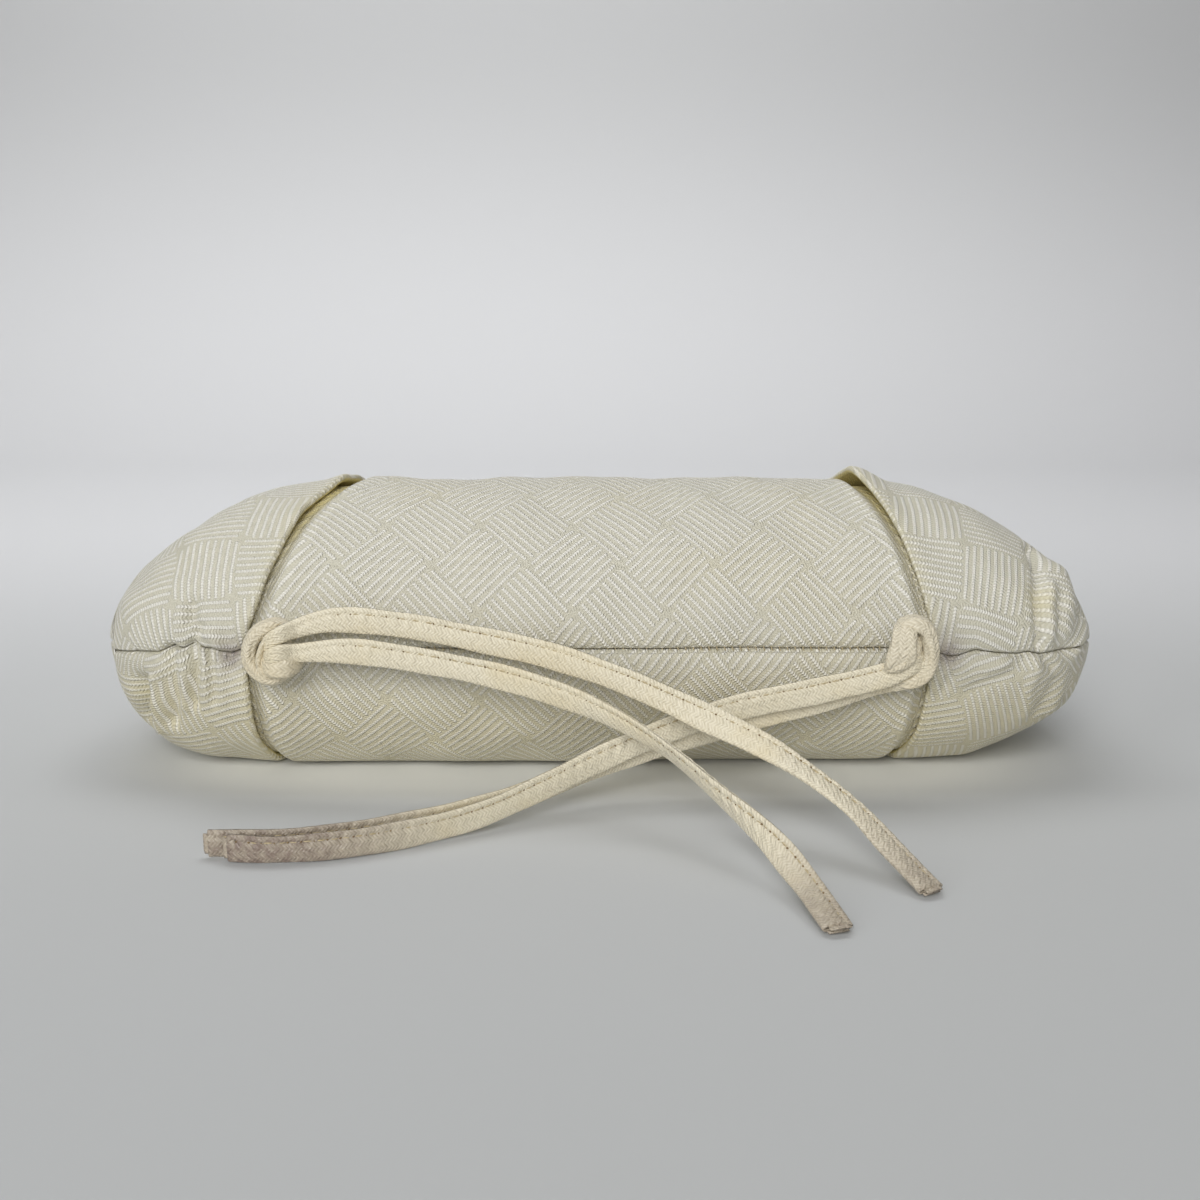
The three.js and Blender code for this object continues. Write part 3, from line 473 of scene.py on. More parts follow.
def skin(arc, rise, share, face):
    """Point of the stuffed body, before the table presses it flat. The arc runs across the bag:
    straight in the middle, then round the end as a quarter of a ball, pushed out to the fullness
    of the plan and of the section. The rise turns round the nose from the base seam (a quarter
    turn) to the crest (0); the share runs from there to the mouth."""
    away = np.abs(arc)
    turn = np.maximum(0, away - HALF_FLAT) / CORNER_REACH
    ball_x = np.sin(turn) * np.sqrt(1 - np.sin(rise) ** 2 / 2)
    ball_y = np.sin(rise) * np.sqrt(1 - np.sin(turn) ** 2 / 2)
    ball_z = np.maximum(0, np.cos(turn) * np.cos(rise))
    plan = full_length(ball_x, ball_y, PLAN_FULLNESS)
    size = full_length(plan, ball_z, section_fullness(arc / LAST_ARC, face))
    reach = CORNER_REACH - MOUTH_TAPER * share
    x = np.sign(arc) * (np.minimum(away, HALF_FLAT) + reach * ball_x / size)
    nose_y = NOSE_DEPTH * (1 - ball_y / size)
    y = BASE_Y + np.where(share > 0, lerp(NOSE_DEPTH, BAG_DEPTH, share), nose_y)
    seam = seam_line(y)
    if face == "front":
        z = seam + SEAM_GAP + (crest_line(share) - seam) * ball_z / size
    else:
        z = seam - SEAM_GAP - (seam + TABLE_FLATTENING) * ball_z / size
    return np.stack([x, y, z], axis=-1)


def body_size(points, face):
    """1 on the body's skin and less inside it: how far a point lies out from the straight
    middle, each way as a share of the body's own size there, joined by the fullnesses."""
    x, y, z = points[..., 0], points[..., 1] - BASE_Y, points[..., 2]
    share = np.clip((y - NOSE_DEPTH) / (BAG_DEPTH - NOSE_DEPTH), 0, 1)
    seam = seam_line(points[..., 1])
    height = crest_line(share) - seam if face == "front" else seam + TABLE_FLATTENING
    across = np.maximum(np.abs(x) - HALF_FLAT, 0) / (CORNER_REACH - MOUTH_TAPER * share)
    along = np.maximum(NOSE_DEPTH - y, 0) / NOSE_DEPTH
    lift = np.abs(z - seam) / height
    plan = full_length(across, along, PLAN_FULLNESS)
    return full_length(plan, lift, section_fullness(x / HALF_WIDTH, face))


def outward(points, face):
    """Direction out of the body: the slope of its size, from a small step each way."""
    step = 0.05 * MM
    slopes = []
    for axis in np.eye(3):
        slopes.append(body_size(points + step * axis, face) - body_size(points - step * axis, face))
    return unit(np.stack(slopes, axis=-1))


def on_table(z):
    """Heights kept above the table: half of the sum of z and the root of z^2 plus a small
    square, which leaves what is high as it is and presses the rest flat."""
    soft = 1.2 * MM
    return (z + np.sqrt(z * z + soft * soft)) / 2


def shell(points, normal, offset):
    """Skin points moved out by an offset, and kept above the table by as much as they lie
    inside the skin."""
    moved = points + normal * offset[..., None]
    floor = np.maximum(-offset, 0)
    z = floor + on_table(moved[..., 2] - floor)
    return np.concatenate([moved[..., :2], z[..., None]], axis=-1)


def fold_arc(fold, rise, share, face):
    """Arc of a fold edge: it runs out along the nose, evenly from the crest to the base seam,
    and in again to the mouth."""
    at_seam = HALF_WIDTH - fold["seam"]
    seam_reach = (at_seam - HALF_FLAT) / CORNER_REACH
    slope = seam_reach / (1 - seam_reach ** PLAN_FULLNESS) ** (1 / PLAN_FULLNESS)
    seam_arc = HALF_FLAT + CORNER_REACH * math.asin(math.sqrt(2) * math.sin(math.atan(slope)))
    at_crest = HALF_WIDTH - fold["top" if face == "front" else "bottom"]
    crest_turn = math.asin(max(0, at_crest - HALF_FLAT) / CORNER_REACH)
    crest_arc = min(at_crest, HALF_FLAT) + CORNER_REACH * crest_turn
    nose_arc = lerp(crest_arc, seam_arc, rise / QUARTER_TURN)
    return lerp(nose_arc, HALF_WIDTH - FOLD_MOUTH, share)


def distance_to(points, line):
    """Distance from each point to the nearest place on a line of straight pieces."""
    gaps = [np.linalg.norm(points - line[0], axis=-1)]
    for start, end in zip(line[:-1], line[1:]):
        run = end - start
        share = np.clip(((points - start) @ run) / (run @ run), 0, 1)
        gaps.append(np.linalg.norm(points - start - share[..., None] * run, axis=-1))
    return np.minimum.reduce(gaps)


def relief(points, marks):
    """Creases and lumps: each mark's height times a bell of the distance to its line."""
    total = np.zeros(points.shape[:-1])
    for line, width, height in marks:
        gap = distance_to(points, from_seam(line))
        total += height * MM * np.exp(-(gap / (width * MM)) ** 2)
    return total


def wander(points):
    """The base seam's wander: a bell of the height above or below it, which fades on the sides."""
    table = np.array(SEAM_WANDER)
    rise = np.interp(points[..., 0] / MM, table[:, 0], table[:, 1], left=0, right=0) * MM
    away = (points[..., 2] - seam_line(points[..., 1])) / WANDER_HEIGHT
    return rise * np.exp(-away ** 2) * (1 - smooth(points[..., 1] - BASE_Y, *WANDER_FADE))


def rounding(radius, steps=5):
    """Distances from a rim at which a round edge of that radius has its points."""
    angles = np.linspace(0, QUARTER_TURN, steps + 1)
    return radius * (1 - np.cos(angles))


def stations(spacing, rim, start=0.0, end=None):
    """Rows from the base seam to the mouth: distances along the middle, close at both rims."""
    end = NOSE_LENGTH + BODY_LENGTH if end is None else end
    count = int((end - start - 2 * rim) / spacing)
    middle = np.linspace(start + rim, end - rim, count + 1)[1:-1]
    return np.concatenate([start + rounding(rim), middle, end - rounding(rim)[::-1]])


def row_angles(along):
    """Rise and share of a row: the nose takes its own length, and the body the rest."""
    rise = QUARTER_TURN * np.clip(1 - along / NOSE_LENGTH, 0, 1)
    share = np.clip((along - NOSE_LENGTH) / BODY_LENGTH, 0, 1)
    return rise, share


def spread(total, rim, count):
    """Distances across a sheet, row by row: fixed ones at both rims, and an even spacing
    stretched between them to the row's own total."""
    inner = np.linspace(0, 1, count + 2)[1:-1]
    middle = rim[-1] + (total - 2 * rim[-1]) * inner
    start = np.broadcast_to(rim, (len(total), len(rim)))
    return np.concatenate([start, middle, total - rim[::-1]], axis=1)


def rim_profile(points, radius):
    """Half circle of a sheet's wall at its rim: from nothing at the rim to 1 a radius inside
    it, by the distance along its row or column to the nearest of the four rims."""
    rims = (points[:1], points[-1:], points[:, :1], points[:, -1:])
    gap = np.minimum.reduce([np.linalg.norm(points - rim, axis=-1) for rim in rims])
    return np.sqrt(1 - (1 - np.clip(gap / radius, 0, 1)) ** 2)


# Meshes and pieces

def grid_quads(index):
    """Quads of a grid of point numbers."""
    corners = [index[:-1, :-1], index[:-1, 1:], index[1:, 1:], index[1:, :-1]]
    return np.stack(corners, axis=-1).reshape(-1, 4)


def make_piece(name, points, faces, material, uv=None, values=None):
    """Object at the origin with its place in its mesh, smooth, its faces pointing outwards,
    with its UV map and values."""
    mesh = bpy.data.meshes.new(name)
    mesh.from_pydata(np.asarray(points).tolist(), [], [list(f) for f in faces])
    mesh.polygons.foreach_set("use_smooth", np.ones(len(mesh.polygons), bool))
    if uv is not None:
        corners = np.zeros(len(mesh.loops), np.int32)
        mesh.loops.foreach_get("vertex_index", corners)
        layer = mesh.uv_layers.new(name="UVMap")
        layer.data.foreach_set("uv", np.asarray(uv, np.float32)[corners].ravel())
    for label, numbers in (values or {}).items():
        attribute = mesh.attributes.new(label, "FLOAT", "POINT")
        attribute.data.foreach_set("value", np.asarray(numbers, np.float32).ravel())
    mesh.materials.append(material)
    solid = bmesh.new()
    solid.from_mesh(mesh)
    if solid.calc_volume(signed=True) < 0:
        mesh.flip_normals()
    solid.free()
    mesh.update()
    piece = bpy.data.objects.new(name, mesh)
    bpy.context.scene.collection.objects.link(piece)
    return piece


def closed_sheet(name, outer, inner, material, uv, values=None):
    """Sheet with a wall between an outer and an inner grid of points, which share the rim.
    Each value has a field on the outer and one on the inner grid."""
    rows, columns = outer.shape[:2]
    inside = np.zeros((rows, columns), bool)
    inside[1:-1, 1:-1] = True
    front = np.arange(rows * columns).reshape(rows, columns)
    back = front.copy()
    back[inside] = rows * columns + np.arange(inside.sum())
    faces = np.concatenate([grid_quads(front), grid_quads(back)[:, ::-1]])

    def both(field, under):
        """A field on the outer grid, then one on the inner grid inside its rim."""
        hidden = under[inside].reshape(inside.sum(), -1)
        return np.concatenate([field.reshape(rows * columns, -1), hidden])

    shared = {label: both(*fields) for label, fields in (values or {}).items()}
    return make_piece(name, both(outer, inner), faces, material, both(uv, uv), shared)


def swept(line, across, through, outline):
    """Rings of a section carried along a line: each ring is the line's point plus the
    section's first coordinate across and its second through."""
    return line[:, None] + across[:, None] * outline[..., :1] + through[:, None] * outline[..., 1:2]


def tube_faces(rings, sides):
    """Quads of a tube of rings, with a flat face at each end."""
    index = np.arange(rings * sides).reshape(rings, sides)
    wrapped = np.concatenate([index, index[:, :1]], axis=1)
    faces = [list(f) for f in grid_quads(wrapped)]
    return faces + [list(index[0][::-1]), list(index[-1])]


def tube_piece(name, rings, material, uv, values=None):
    """Closed tube from rings of points."""
    count, sides = rings.shape[:2]
    return make_piece(name, rings.reshape(-1, 3), tube_faces(count, sides), material, uv.reshape(-1, 2),
                      {label: field.reshape(-1) for label, field in (values or {}).items()})


def oval(sides, power=2.0):
    """Unit section: a superellipse of that power."""
    angle = 2 * math.pi * (np.arange(sides) + 0.5) / sides
    c, s = np.cos(angle), np.sin(angle)
    x = np.sign(c) * np.abs(c) ** (2 / power)
    y = np.sign(s) * np.abs(s) ** (2 / power)
    return np.stack([x, y], axis=-1)


def stitches(name, centres, along, up, length, radius, material):
    """Row of sewing stitches: one capsule at each centre, lying along its thread, with its
    ends sunk. Each is six rings of six points, its radius an ellipse's over its length."""
    share = np.array([-1, -0.75, -0.3, 0.3, 0.75, 1])
    thick = radius * np.sqrt(np.maximum(1 - share ** 2 * 0.92, 0.02))
    angle = 2 * math.pi * np.arange(6) / 6
    side = unit(np.cross(along, up))
    ring = side[:, None, None] * np.cos(angle)[:, None] + up[:, None, None] * np.sin(angle)[:, None]
    spine = along[:, None] * (share * length / 2)[:, None] - up[:, None] * (radius * share ** 2)[:, None]
    points = centres[:, None, None] + spine[:, :, None] + ring * thick[:, None, None]
    count = len(centres)
    template = np.arange(36).reshape(6, 6)
    wrapped = np.concatenate([template, template[:, :1]], axis=1)
    quads = grid_quads(wrapped)[:, ::-1]
    ends = [template[0].tolist(), template[-1][::-1].tolist()]
    starts = np.arange(count) * 36
    faces = [list(f) for f in (quads[None] + starts[:, None, None]).reshape(-1, 4)]
    for end in ends:
        faces += [list(f) for f in np.array(end)[None] + starts[:, None]]
    return make_piece(name, points.reshape(-1, 3), faces, material)


def settle(piece, body, slot, *nodes):
    """The piece rides on a body and stands for its nodes. The slot is not used."""
    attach(piece, body)
    if nodes:
        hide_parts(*nodes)


def flattened(points, guess, rounds=600, step=4, give=0.11):
    """Flat pattern of a curved sheet: starting from a guess, every spacing between
    neighbours, also on the diagonals, is pulled to its length on the sheet by a share of what
    it lacks, round by round, on every fourth point. The rest lie between those."""
    rows = np.unique(np.append(np.arange(0, points.shape[0], step), points.shape[0] - 1))
    columns = np.unique(np.append(np.arange(0, points.shape[1], step), points.shape[1] - 1))
    solid, flat = points[np.ix_(rows, columns)], guess[np.ix_(rows, columns)].copy()
    whole = slice(None)
    springs = [
        ((slice(None, -1), whole), (slice(1, None), whole)),
        ((whole, slice(None, -1)), (whole, slice(1, None))),
        ((slice(None, -1), slice(None, -1)), (slice(1, None), slice(1, None))),
        ((slice(1, None), slice(None, -1)), (slice(None, -1), slice(1, None))),
    ]
    lengths = [np.linalg.norm(solid[a] - solid[b], axis=-1, keepdims=True) for a, b in springs]
    for _ in range(rounds):
        push = np.zeros_like(flat)
        for (a, b), rest in zip(springs, lengths):
            gap = flat[b] - flat[a]
            size = np.maximum(np.linalg.norm(gap, axis=-1, keepdims=True), 1e-9)
            pull = gap * (1 - rest / size)
            push[a] += pull
            push[b] -= pull
        flat += push * give
    every_row, every_column = np.arange(points.shape[0]), np.arange(points.shape[1])
    filled = np.stack([sampled(row, columns, every_column) for row in flat])
    return np.stack([sampled(filled[:, k], rows, every_row) for k in every_column], 1)


def turned(uv, degrees, shift=(0.0, 0.0)):
    """Flat pattern turned by an angle, then moved."""
    angle = math.radians(degrees)
    c, s = math.cos(angle), math.sin(angle)
    x = uv[..., 0] * c - uv[..., 1] * s + shift[0]
    y = uv[..., 0] * s + uv[..., 1] * c + shift[1]
    return np.stack([x, y], -1)


def clean(points):
    """Values of a sheet that is neither soiled nor has painted fold shade."""
    none = np.zeros(points.shape[:2])
    return {"soil": (none, none), "warm": (none, none)}


# Materials

class Finish:
    """Builds a material's nodes: each call adds a node, links what it is given and returns
    its output."""

    def __init__(self, name):
        """A new material with its shader."""
        self.material = bpy.data.materials.new(name)
        self.material.use_nodes = True
        self.tree = self.material.node_tree
        self.shader = self.tree.nodes["Principled BSDF"]

    def node(self, kind, inputs=(), **settings):
        """A node with its settings and inputs."""
        made = self.tree.nodes.new(kind)
        for key, value in settings.items():
            setattr(made, key, value)
        for key, value in dict(inputs).items():
            self.feed(made.inputs[key], value)
        return made

    def feed(self, socket, value):
        """Links a socket to another, or gives it a plain value."""
        if isinstance(value, bpy.types.NodeSocket):
            self.tree.links.new(value, socket)
        else:
            socket.default_value = value

    def math(self, operation, *values):
        """Arithmetic on numbers or sockets."""
        made = self.node("ShaderNodeMath", operation=operation)
        for k, value in enumerate(values):
            self.feed(made.inputs[k], value)
        return made.outputs[0]

    def step(self, value, start, end):
        """Smooth step from 0 at start to 1 at end."""
        made = self.node("ShaderNodeMapRange", {"Value": value, "From Min": start, "From Max": end},
                         interpolation_type="SMOOTHSTEP")
        return made.outputs["Result"]

    def mix(self, share, a, b):
        """Colour at a share of the way from a to b."""
        made = self.node("ShaderNodeMix", data_type="RGBA")
        for place, value in ((0, share), (6, a), (7, b)):
            self.feed(made.inputs[place], value)
        return made.outputs[2]

    def blend(self, share, a, b):
        """Number at a share of the way from a to b."""
        made = self.node("ShaderNodeMix", data_type="FLOAT")
        for place, value in ((0, share), (2, a), (3, b)):
            self.feed(made.inputs[place], value)
        return made.outputs[0]

    def noise(self, vector, scale, detail=3.0, roughness=0.5):
        """Noise from 0 to 1 at a place."""
        made = self.node("ShaderNodeTexNoise", {"Vector": vector, "Scale": scale, "Detail": detail,
                                                "Roughness": roughness})
        return made.outputs["Fac"]

    def uv(self):
        """The piece's flat pattern."""
        return self.node("ShaderNodeTexCoord").outputs["UV"]

    def place(self):
        """Place in the piece's own space."""
        return self.node("ShaderNodeTexCoord").outputs["Object"]

    def value(self, label):
        """One of the piece's values."""
        return self.node("ShaderNodeAttribute", attribute_name=label).outputs["Fac"]

    def xy(self, vector):
        """First and second part of a vector."""
        made = self.node("ShaderNodeSeparateXYZ", {"Vector": vector})
        return made.outputs["X"], made.outputs["Y"]

    def bump(self, height, distance, strength=1.0, normal=None):
        """Normal bent by a relief."""
        made = self.node("ShaderNodeBump", {"Height": height, "Distance": distance, "Strength": strength})
        if normal is not None:
            self.feed(made.inputs["Normal"], normal)
        return made.outputs["Normal"]


def colour(tone):
    """A property's colour as a socket takes it."""
    return (tone[0], tone[1], tone[2], 1.0)


def twill(finish, x, y, pitch, slant=1.0):
    """Ribs of a twill weave: a sine across diagonal lines of that pitch."""
    line = finish.math("ADD", x, finish.math("MULTIPLY", y, slant))
    turns = 2 * math.pi / (pitch * math.hypot(1, slant))
    wave = finish.math("SINE", finish.math("MULTIPLY", line, turns))
    return finish.math("MULTIPLY_ADD", wave, 0.5, 0.5)


def satin_jacquard(settings):
    """Satin with a woven basket: square blocks of raised parallel floats, each block's
    floats square to its neighbours', on a fine twill ground. Yellowed in patches, with painted
    warm shade low down, and, where the piece's values say so, soiled or given the yellow painted
    shade of a fold's inside."""
    if "satin_jacquard_cloth" in bpy.data.materials:
        return bpy.data.materials["satin_jacquard_cloth"]
    f = Finish("satin_jacquard_cloth")
    uv = f.uv()
    x, y = f.xy(uv)
    # Blocks of the basket, and the place in each across and along its floats
    column, row = (f.math("DIVIDE", v, settings.cell) for v in (x, y))
    block = f.math("ADD", f.math("FLOOR", column), f.math("FLOOR", row))
    parity = f.math("MODULO", f.math("ABSOLUTE", block), 2.0)
    in_column, in_row = f.math("FRACT", column), f.math("FRACT", row)
    across = f.blend(parity, in_column, in_row)
    along = f.blend(parity, in_row, in_column)
    # Floats: each has a lane and round ends, and they reach less far towards the block's sides
    floats = settings.floats
    from_middle = f.math("ABSOLUTE", f.math("SUBTRACT", across, 0.5))
    in_lane = f.math("FRACT", f.math("MULTIPLY", across, float(floats)))
    lane = f.math("ABSOLUTE", f.math("SUBTRACT", in_lane, 0.5))
    reach = f.math("SUBTRACT", 0.478, f.math("MULTIPLY", f.step(from_middle, 0.26, 0.5), 0.07))
    from_centre = f.math("ABSOLUTE", f.math("SUBTRACT", along, 0.5))
    over = f.math("MAXIMUM", f.math("SUBTRACT", from_centre, reach), 0.0)
    away = f.math("SQRT", f.math("ADD", f.math("POWER", lane, 2.0),
                                 f.math("POWER", f.math("MULTIPLY", over, float(floats)), 2.0)))
    half = settings.float_width / 2 * floats / settings.cell
    raised = f.step(away, half + 0.09, half - 0.07)
    # Twill ground, and the chevrons that the threads make along a lane
    ground = twill(f, x, y, settings.twill, 1.6)
    ticks = f.math("ADD", f.math("MULTIPLY", along, 2 * math.pi * settings.cell / settings.twill),
                   f.math("MULTIPLY", lane, 2 * math.pi * 1.3))
    chevrons = f.math("MULTIPLY_ADD", f.math("SINE", ticks), 0.5, 0.5)
    patchy = f.noise(f.place(), 28.0, 2.0)
    fine = f.noise(uv, 900.0, 2.0)
    # Tones: ground and floats, their hollows' shade, age in patches, painted warm shade low down, then the
    # values
    tone = f.mix(raised, colour(settings.ground), colour(settings.floats_tone))
    hollows = f.math("MAXIMUM", f.math("MULTIPLY", ground, 0.5), chevrons)
    tone = f.mix(f.math("MULTIPLY", hollows, 0.4), tone, colour(settings.shade))
    aged = f.math("MULTIPLY", f.step(patchy, 0.45, 0.75), 0.2)
    # Painted warm shade: the cloth turns yellower near the table, where its lower faces lie in shade
    above_table = f.node("ShaderNodeSeparateXYZ", {"Vector": f.place()}).outputs["Z"]
    low = f.math("MULTIPLY", f.step(above_table, 0.042, 0.016), 0.6)
    spared = f.math("MULTIPLY_ADD", raised, -0.55, 1.0)
    yellowed = f.math("MULTIPLY", f.math("MAXIMUM", aged, low), spared)
    tone = f.mix(yellowed, tone, colour(settings.yellowed))
    # Painted warm shade in the folds and under their lips, from the piece's values
    tone = f.mix(f.value("warm"), tone, colour(settings.inside))
    soil = f.math("MULTIPLY", f.value("soil"), f.math("MULTIPLY_ADD", fine, 0.9, 0.35))
    tone = f.mix(f.math("MINIMUM", soil, 0.85), tone, colour(settings.soiled))
    f.feed(f.shader.inputs["Base Color"], tone)
    # The floats shine more than the ground and stand up from it
    gloss = f.blend(raised, 0.44, 0.3)
    f.feed(f.shader.inputs["Roughness"], f.math("MULTIPLY_ADD", patchy, 0.08, gloss))
    f.shader.inputs["Specular IOR Level"].default_value = 0.62
    f.shader.inputs["Sheen Weight"].default_value = 0.08
    f.shader.inputs["Sheen Roughness"].default_value = 0.4
    height = f.math("ADD", f.math("MULTIPLY", raised, f.math("MULTIPLY_ADD", chevrons, 0.5, 0.65)),
                    f.math("ADD", f.math("MULTIPLY", ground, 0.25), f.math("MULTIPLY", chevrons, 0.5)))
    creases = f.bump(f.noise(f.place(), 90.0, 4.0, 0.6), 0.0006, 0.5)
    f.feed(f.shader.inputs["Normal"], f.bump(height, settings.relief, 0.9, creases))
    return f.material


def tie_satin(settings):
    """Plain crepe satin of the ties: zigzag ribs crossed by a fainter twill and broken by
    noise, yellowed in patches, and soiled where the piece's values say so."""
    if "tie_satin_cloth" in bpy.data.materials:
        return bpy.data.materials["tie_satin_cloth"]
    f = Finish("tie_satin_cloth")
    uv = f.uv()
    x, y = f.xy(uv)
    in_rib = f.math("FRACT", f.math("DIVIDE", y, settings.tie_rib * 2.6))
    zigzag = f.math("ABSOLUTE", f.math("SUBTRACT", in_rib, 0.5))
    wave = f.math("ADD", f.math("MULTIPLY", x, 2 * math.pi / settings.tie_rib),
                  f.math("MULTIPLY", zigzag, 2 * math.pi * 2.2))
    ribs = f.math("MULTIPLY_ADD", f.math("SINE", wave), 0.5, 0.5)
    crossing = twill(f, x, y, settings.tie_rib * 1.3, -1.5)
    broken = f.noise(uv, 700.0, 3.0, 0.6)
    patchy = f.noise(f.place(), 45.0, 3.0)
    tone = f.mix(f.math("MULTIPLY", f.math("MULTIPLY", ribs, broken), 0.75), colour(settings.tie),
                 colour(settings.tie_shade))
    tone = f.mix(f.math("MULTIPLY", f.step(patchy, 0.5, 0.75), 0.5), tone, colour(settings.tie_yellowed))
    soil = f.math("MULTIPLY", f.value("soil"), f.math("MULTIPLY_ADD", f.noise(uv, 420.0, 3.0), 0.9, 0.4))
    tone = f.mix(f.math("MINIMUM", soil, 0.9), tone, colour(settings.tie_soiled))
    f.feed(f.shader.inputs["Base Color"], tone)
    f.feed(f.shader.inputs["Roughness"], f.math("MULTIPLY_ADD", patchy, 0.15, 0.3))
    f.shader.inputs["Specular IOR Level"].default_value = 0.6
    f.shader.inputs["Sheen Weight"].default_value = 0.08
    height = f.math("ADD", f.math("MULTIPLY", ribs, f.math("MULTIPLY_ADD", broken, 0.7, -0.05)),
                    f.math("ADD", f.math("MULTIPLY", crossing, 0.35), f.math("MULTIPLY", broken, 0.9)))
    puckers = f.bump(f.noise(uv, 230.0, 3.0, 0.6), 0.0007, 0.7)
    f.feed(f.shader.inputs["Normal"], f.bump(height, 0.00028, 1.0, puckers))
    return f.material


def lining_satin(settings):
    """Smooth lining with a barely seen twill and soft creases."""
    if "lining_satin_cloth" in bpy.data.materials:
        return bpy.data.materials["lining_satin_cloth"]
    f = Finish("lining_satin_cloth")
    x, y = f.xy(f.uv())
    ribs = twill(f, x, y, 0.0006, 1.0)
    patchy = f.noise(f.place(), 35.0, 3.0)
    tone = f.mix(f.math("MULTIPLY", patchy, 0.6), colour(settings.lining), colour(settings.lining_shade))
    f.feed(f.shader.inputs["Base Color"], tone)
    f.feed(f.shader.inputs["Roughness"], f.math("MULTIPLY_ADD", patchy, 0.15, 0.42))
    creases = f.bump(f.noise(f.place(), 60.0, 4.0, 0.6), 0.0012, 0.6)
    f.feed(f.shader.inputs["Normal"], f.bump(ribs, 0.00008, 0.6, creases))
    return f.material


def thread(settings):
    """Spun sewing thread: a ply of fine noise, darker and rougher in its hollows."""
    if "sewing_thread" in bpy.data.materials:
        return bpy.data.materials["sewing_thread"]
    f = Finish("sewing_thread")
    ply = f.noise(f.place(), 1800.0, 2.0)
    tone = f.mix(ply, colour(settings.thread), colour(settings.thread_shade))
    f.feed(f.shader.inputs["Base Color"], tone)
    f.feed(f.shader.inputs["Roughness"], f.math("MULTIPLY_ADD", ply, 0.2, 0.5))
    f.feed(f.shader.inputs["Normal"], f.bump(ply, 0.0001, 0.6))
    return f.material


def needle_hole(settings):
    """Painted shade: the dark bottom of a needle's hole."""
    if "needle_hole" in bpy.data.materials:
        return bpy.data.materials["needle_hole"]
    f = Finish("needle_hole")
    fine = f.noise(f.place(), 900.0, 2.0)
    tone = f.mix(fine, colour(settings.hole), colour(settings.thread_shade))
    f.feed(f.shader.inputs["Base Color"], tone)
    f.shader.inputs["Roughness"].default_value = 0.9
    return f.material


def brass(settings):
    """Plated brass, polished, with faint rub marks."""
    if "ring_brass" in bpy.data.materials:
        return bpy.data.materials["ring_brass"]
    f = Finish("ring_brass")
    rubs = f.noise(f.place(), 600.0, 4.0, 0.65)
    tone = f.mix(rubs, colour(settings.brass), colour(settings.brass_shade))
    f.feed(f.shader.inputs["Base Color"], tone)
    f.shader.inputs["Metallic"].default_value = 1.0
    f.feed(f.shader.inputs["Roughness"], f.math("MULTIPLY_ADD", rubs, 0.25, 0.14))
    f.feed(f.shader.inputs["Normal"], f.bump(rubs, 0.00004, 0.5))
    return f.material


def tone_property(name, description, red, green, blue):
    """A colour property, its default given as the 0 to 255 values that a screen shows."""
    linear = tuple(((v / 255 + 0.055) / 1.055) ** 2.4 for v in (red, green, blue))
    return bpy.props.FloatVectorProperty(name=name, description=description, subtype="COLOR",
                                         size=3, min=0, max=1, default=linear)


def length_property(name, description, default):
    """A length property in metres."""
    return bpy.props.FloatProperty(name=name, description=description, default=default, min=0,
                                   unit="LENGTH", precision=5)


def power_property(name, description, watts):
    """Power setting of a lamp."""
    return bpy.props.FloatProperty(name=name, description=description, default=watts, min=0, unit="POWER")


class BagFabricSettings(bpy.types.PropertyGroup):
    """Weave and colours of the cloths, the thread and the metal."""

    cell: length_property("Block size", "Side of one square block of the woven basket", 0.019)
    floats: bpy.props.IntProperty(name="Floats", description="Raised floats in one block", default=9, min=2)
    float_width: length_property("Float width", "Width of one raised float", 0.0008)
    twill: length_property("Twill pitch", "Spacing of the ground's ribs", 0.0008)
    relief: length_property("Relief", "Height of the floats above the ground", 0.00029)
    tie_rib: length_property("Tie rib pitch", "Spacing of the ties' zigzag ribs", 0.00095)
    ground: tone_property("Ground", "Twill ground between the floats", 209, 206, 189)
    floats_tone: tone_property("Floats", "Raised satin floats", 252, 250, 242)
    shade: tone_property("Rib shade", "Hollows of the twill", 190, 184, 164)
    # Its tone also stands for the painted warm shade low down on the cloth
    yellowed: tone_property("Yellowed", "Patches gone yellow with age", 208, 198, 162)
    # Painted warm shade inside the folds and under their lips
    inside: tone_property("Fold inside", "Cloth inside the folds", 214, 199, 128)
    soiled: tone_property("Soiled", "Dirt marks beside the knots", 142, 130, 128)
    tie: tone_property("Tie", "Satin of the ties", 236, 228, 205)
    tie_shade: tone_property("Tie rib shade", "Hollows of the ties' ribs", 186, 172, 138)
    tie_yellowed: tone_property("Tie yellowed", "Patches of the ties gone yellow", 224, 208, 168)
    tie_soiled: tone_property("Tie soiled", "Stains near the ties' ends", 122, 103, 94)
    lining: tone_property("Lining", "Satin lining", 222, 213, 190)
    lining_shade: tone_property("Lining shade", "Duller parts of the lining", 204, 193, 166)
    thread: tone_property("Thread", "Sewing thread", 212, 198, 164)
    thread_shade: tone_property("Thread shade", "Hollows of the thread's ply", 160, 142, 104)
    # Painted shade in the ties' needle holes
    hole: tone_property("Needle hole", "Bottom of the ties' needle holes", 92, 64, 40)
    brass: tone_property("Brass", "Rings and snap", 214, 186, 122)
    brass_shade: tone_property("Brass shade", "Rubbed parts of the metal", 186, 158, 98)


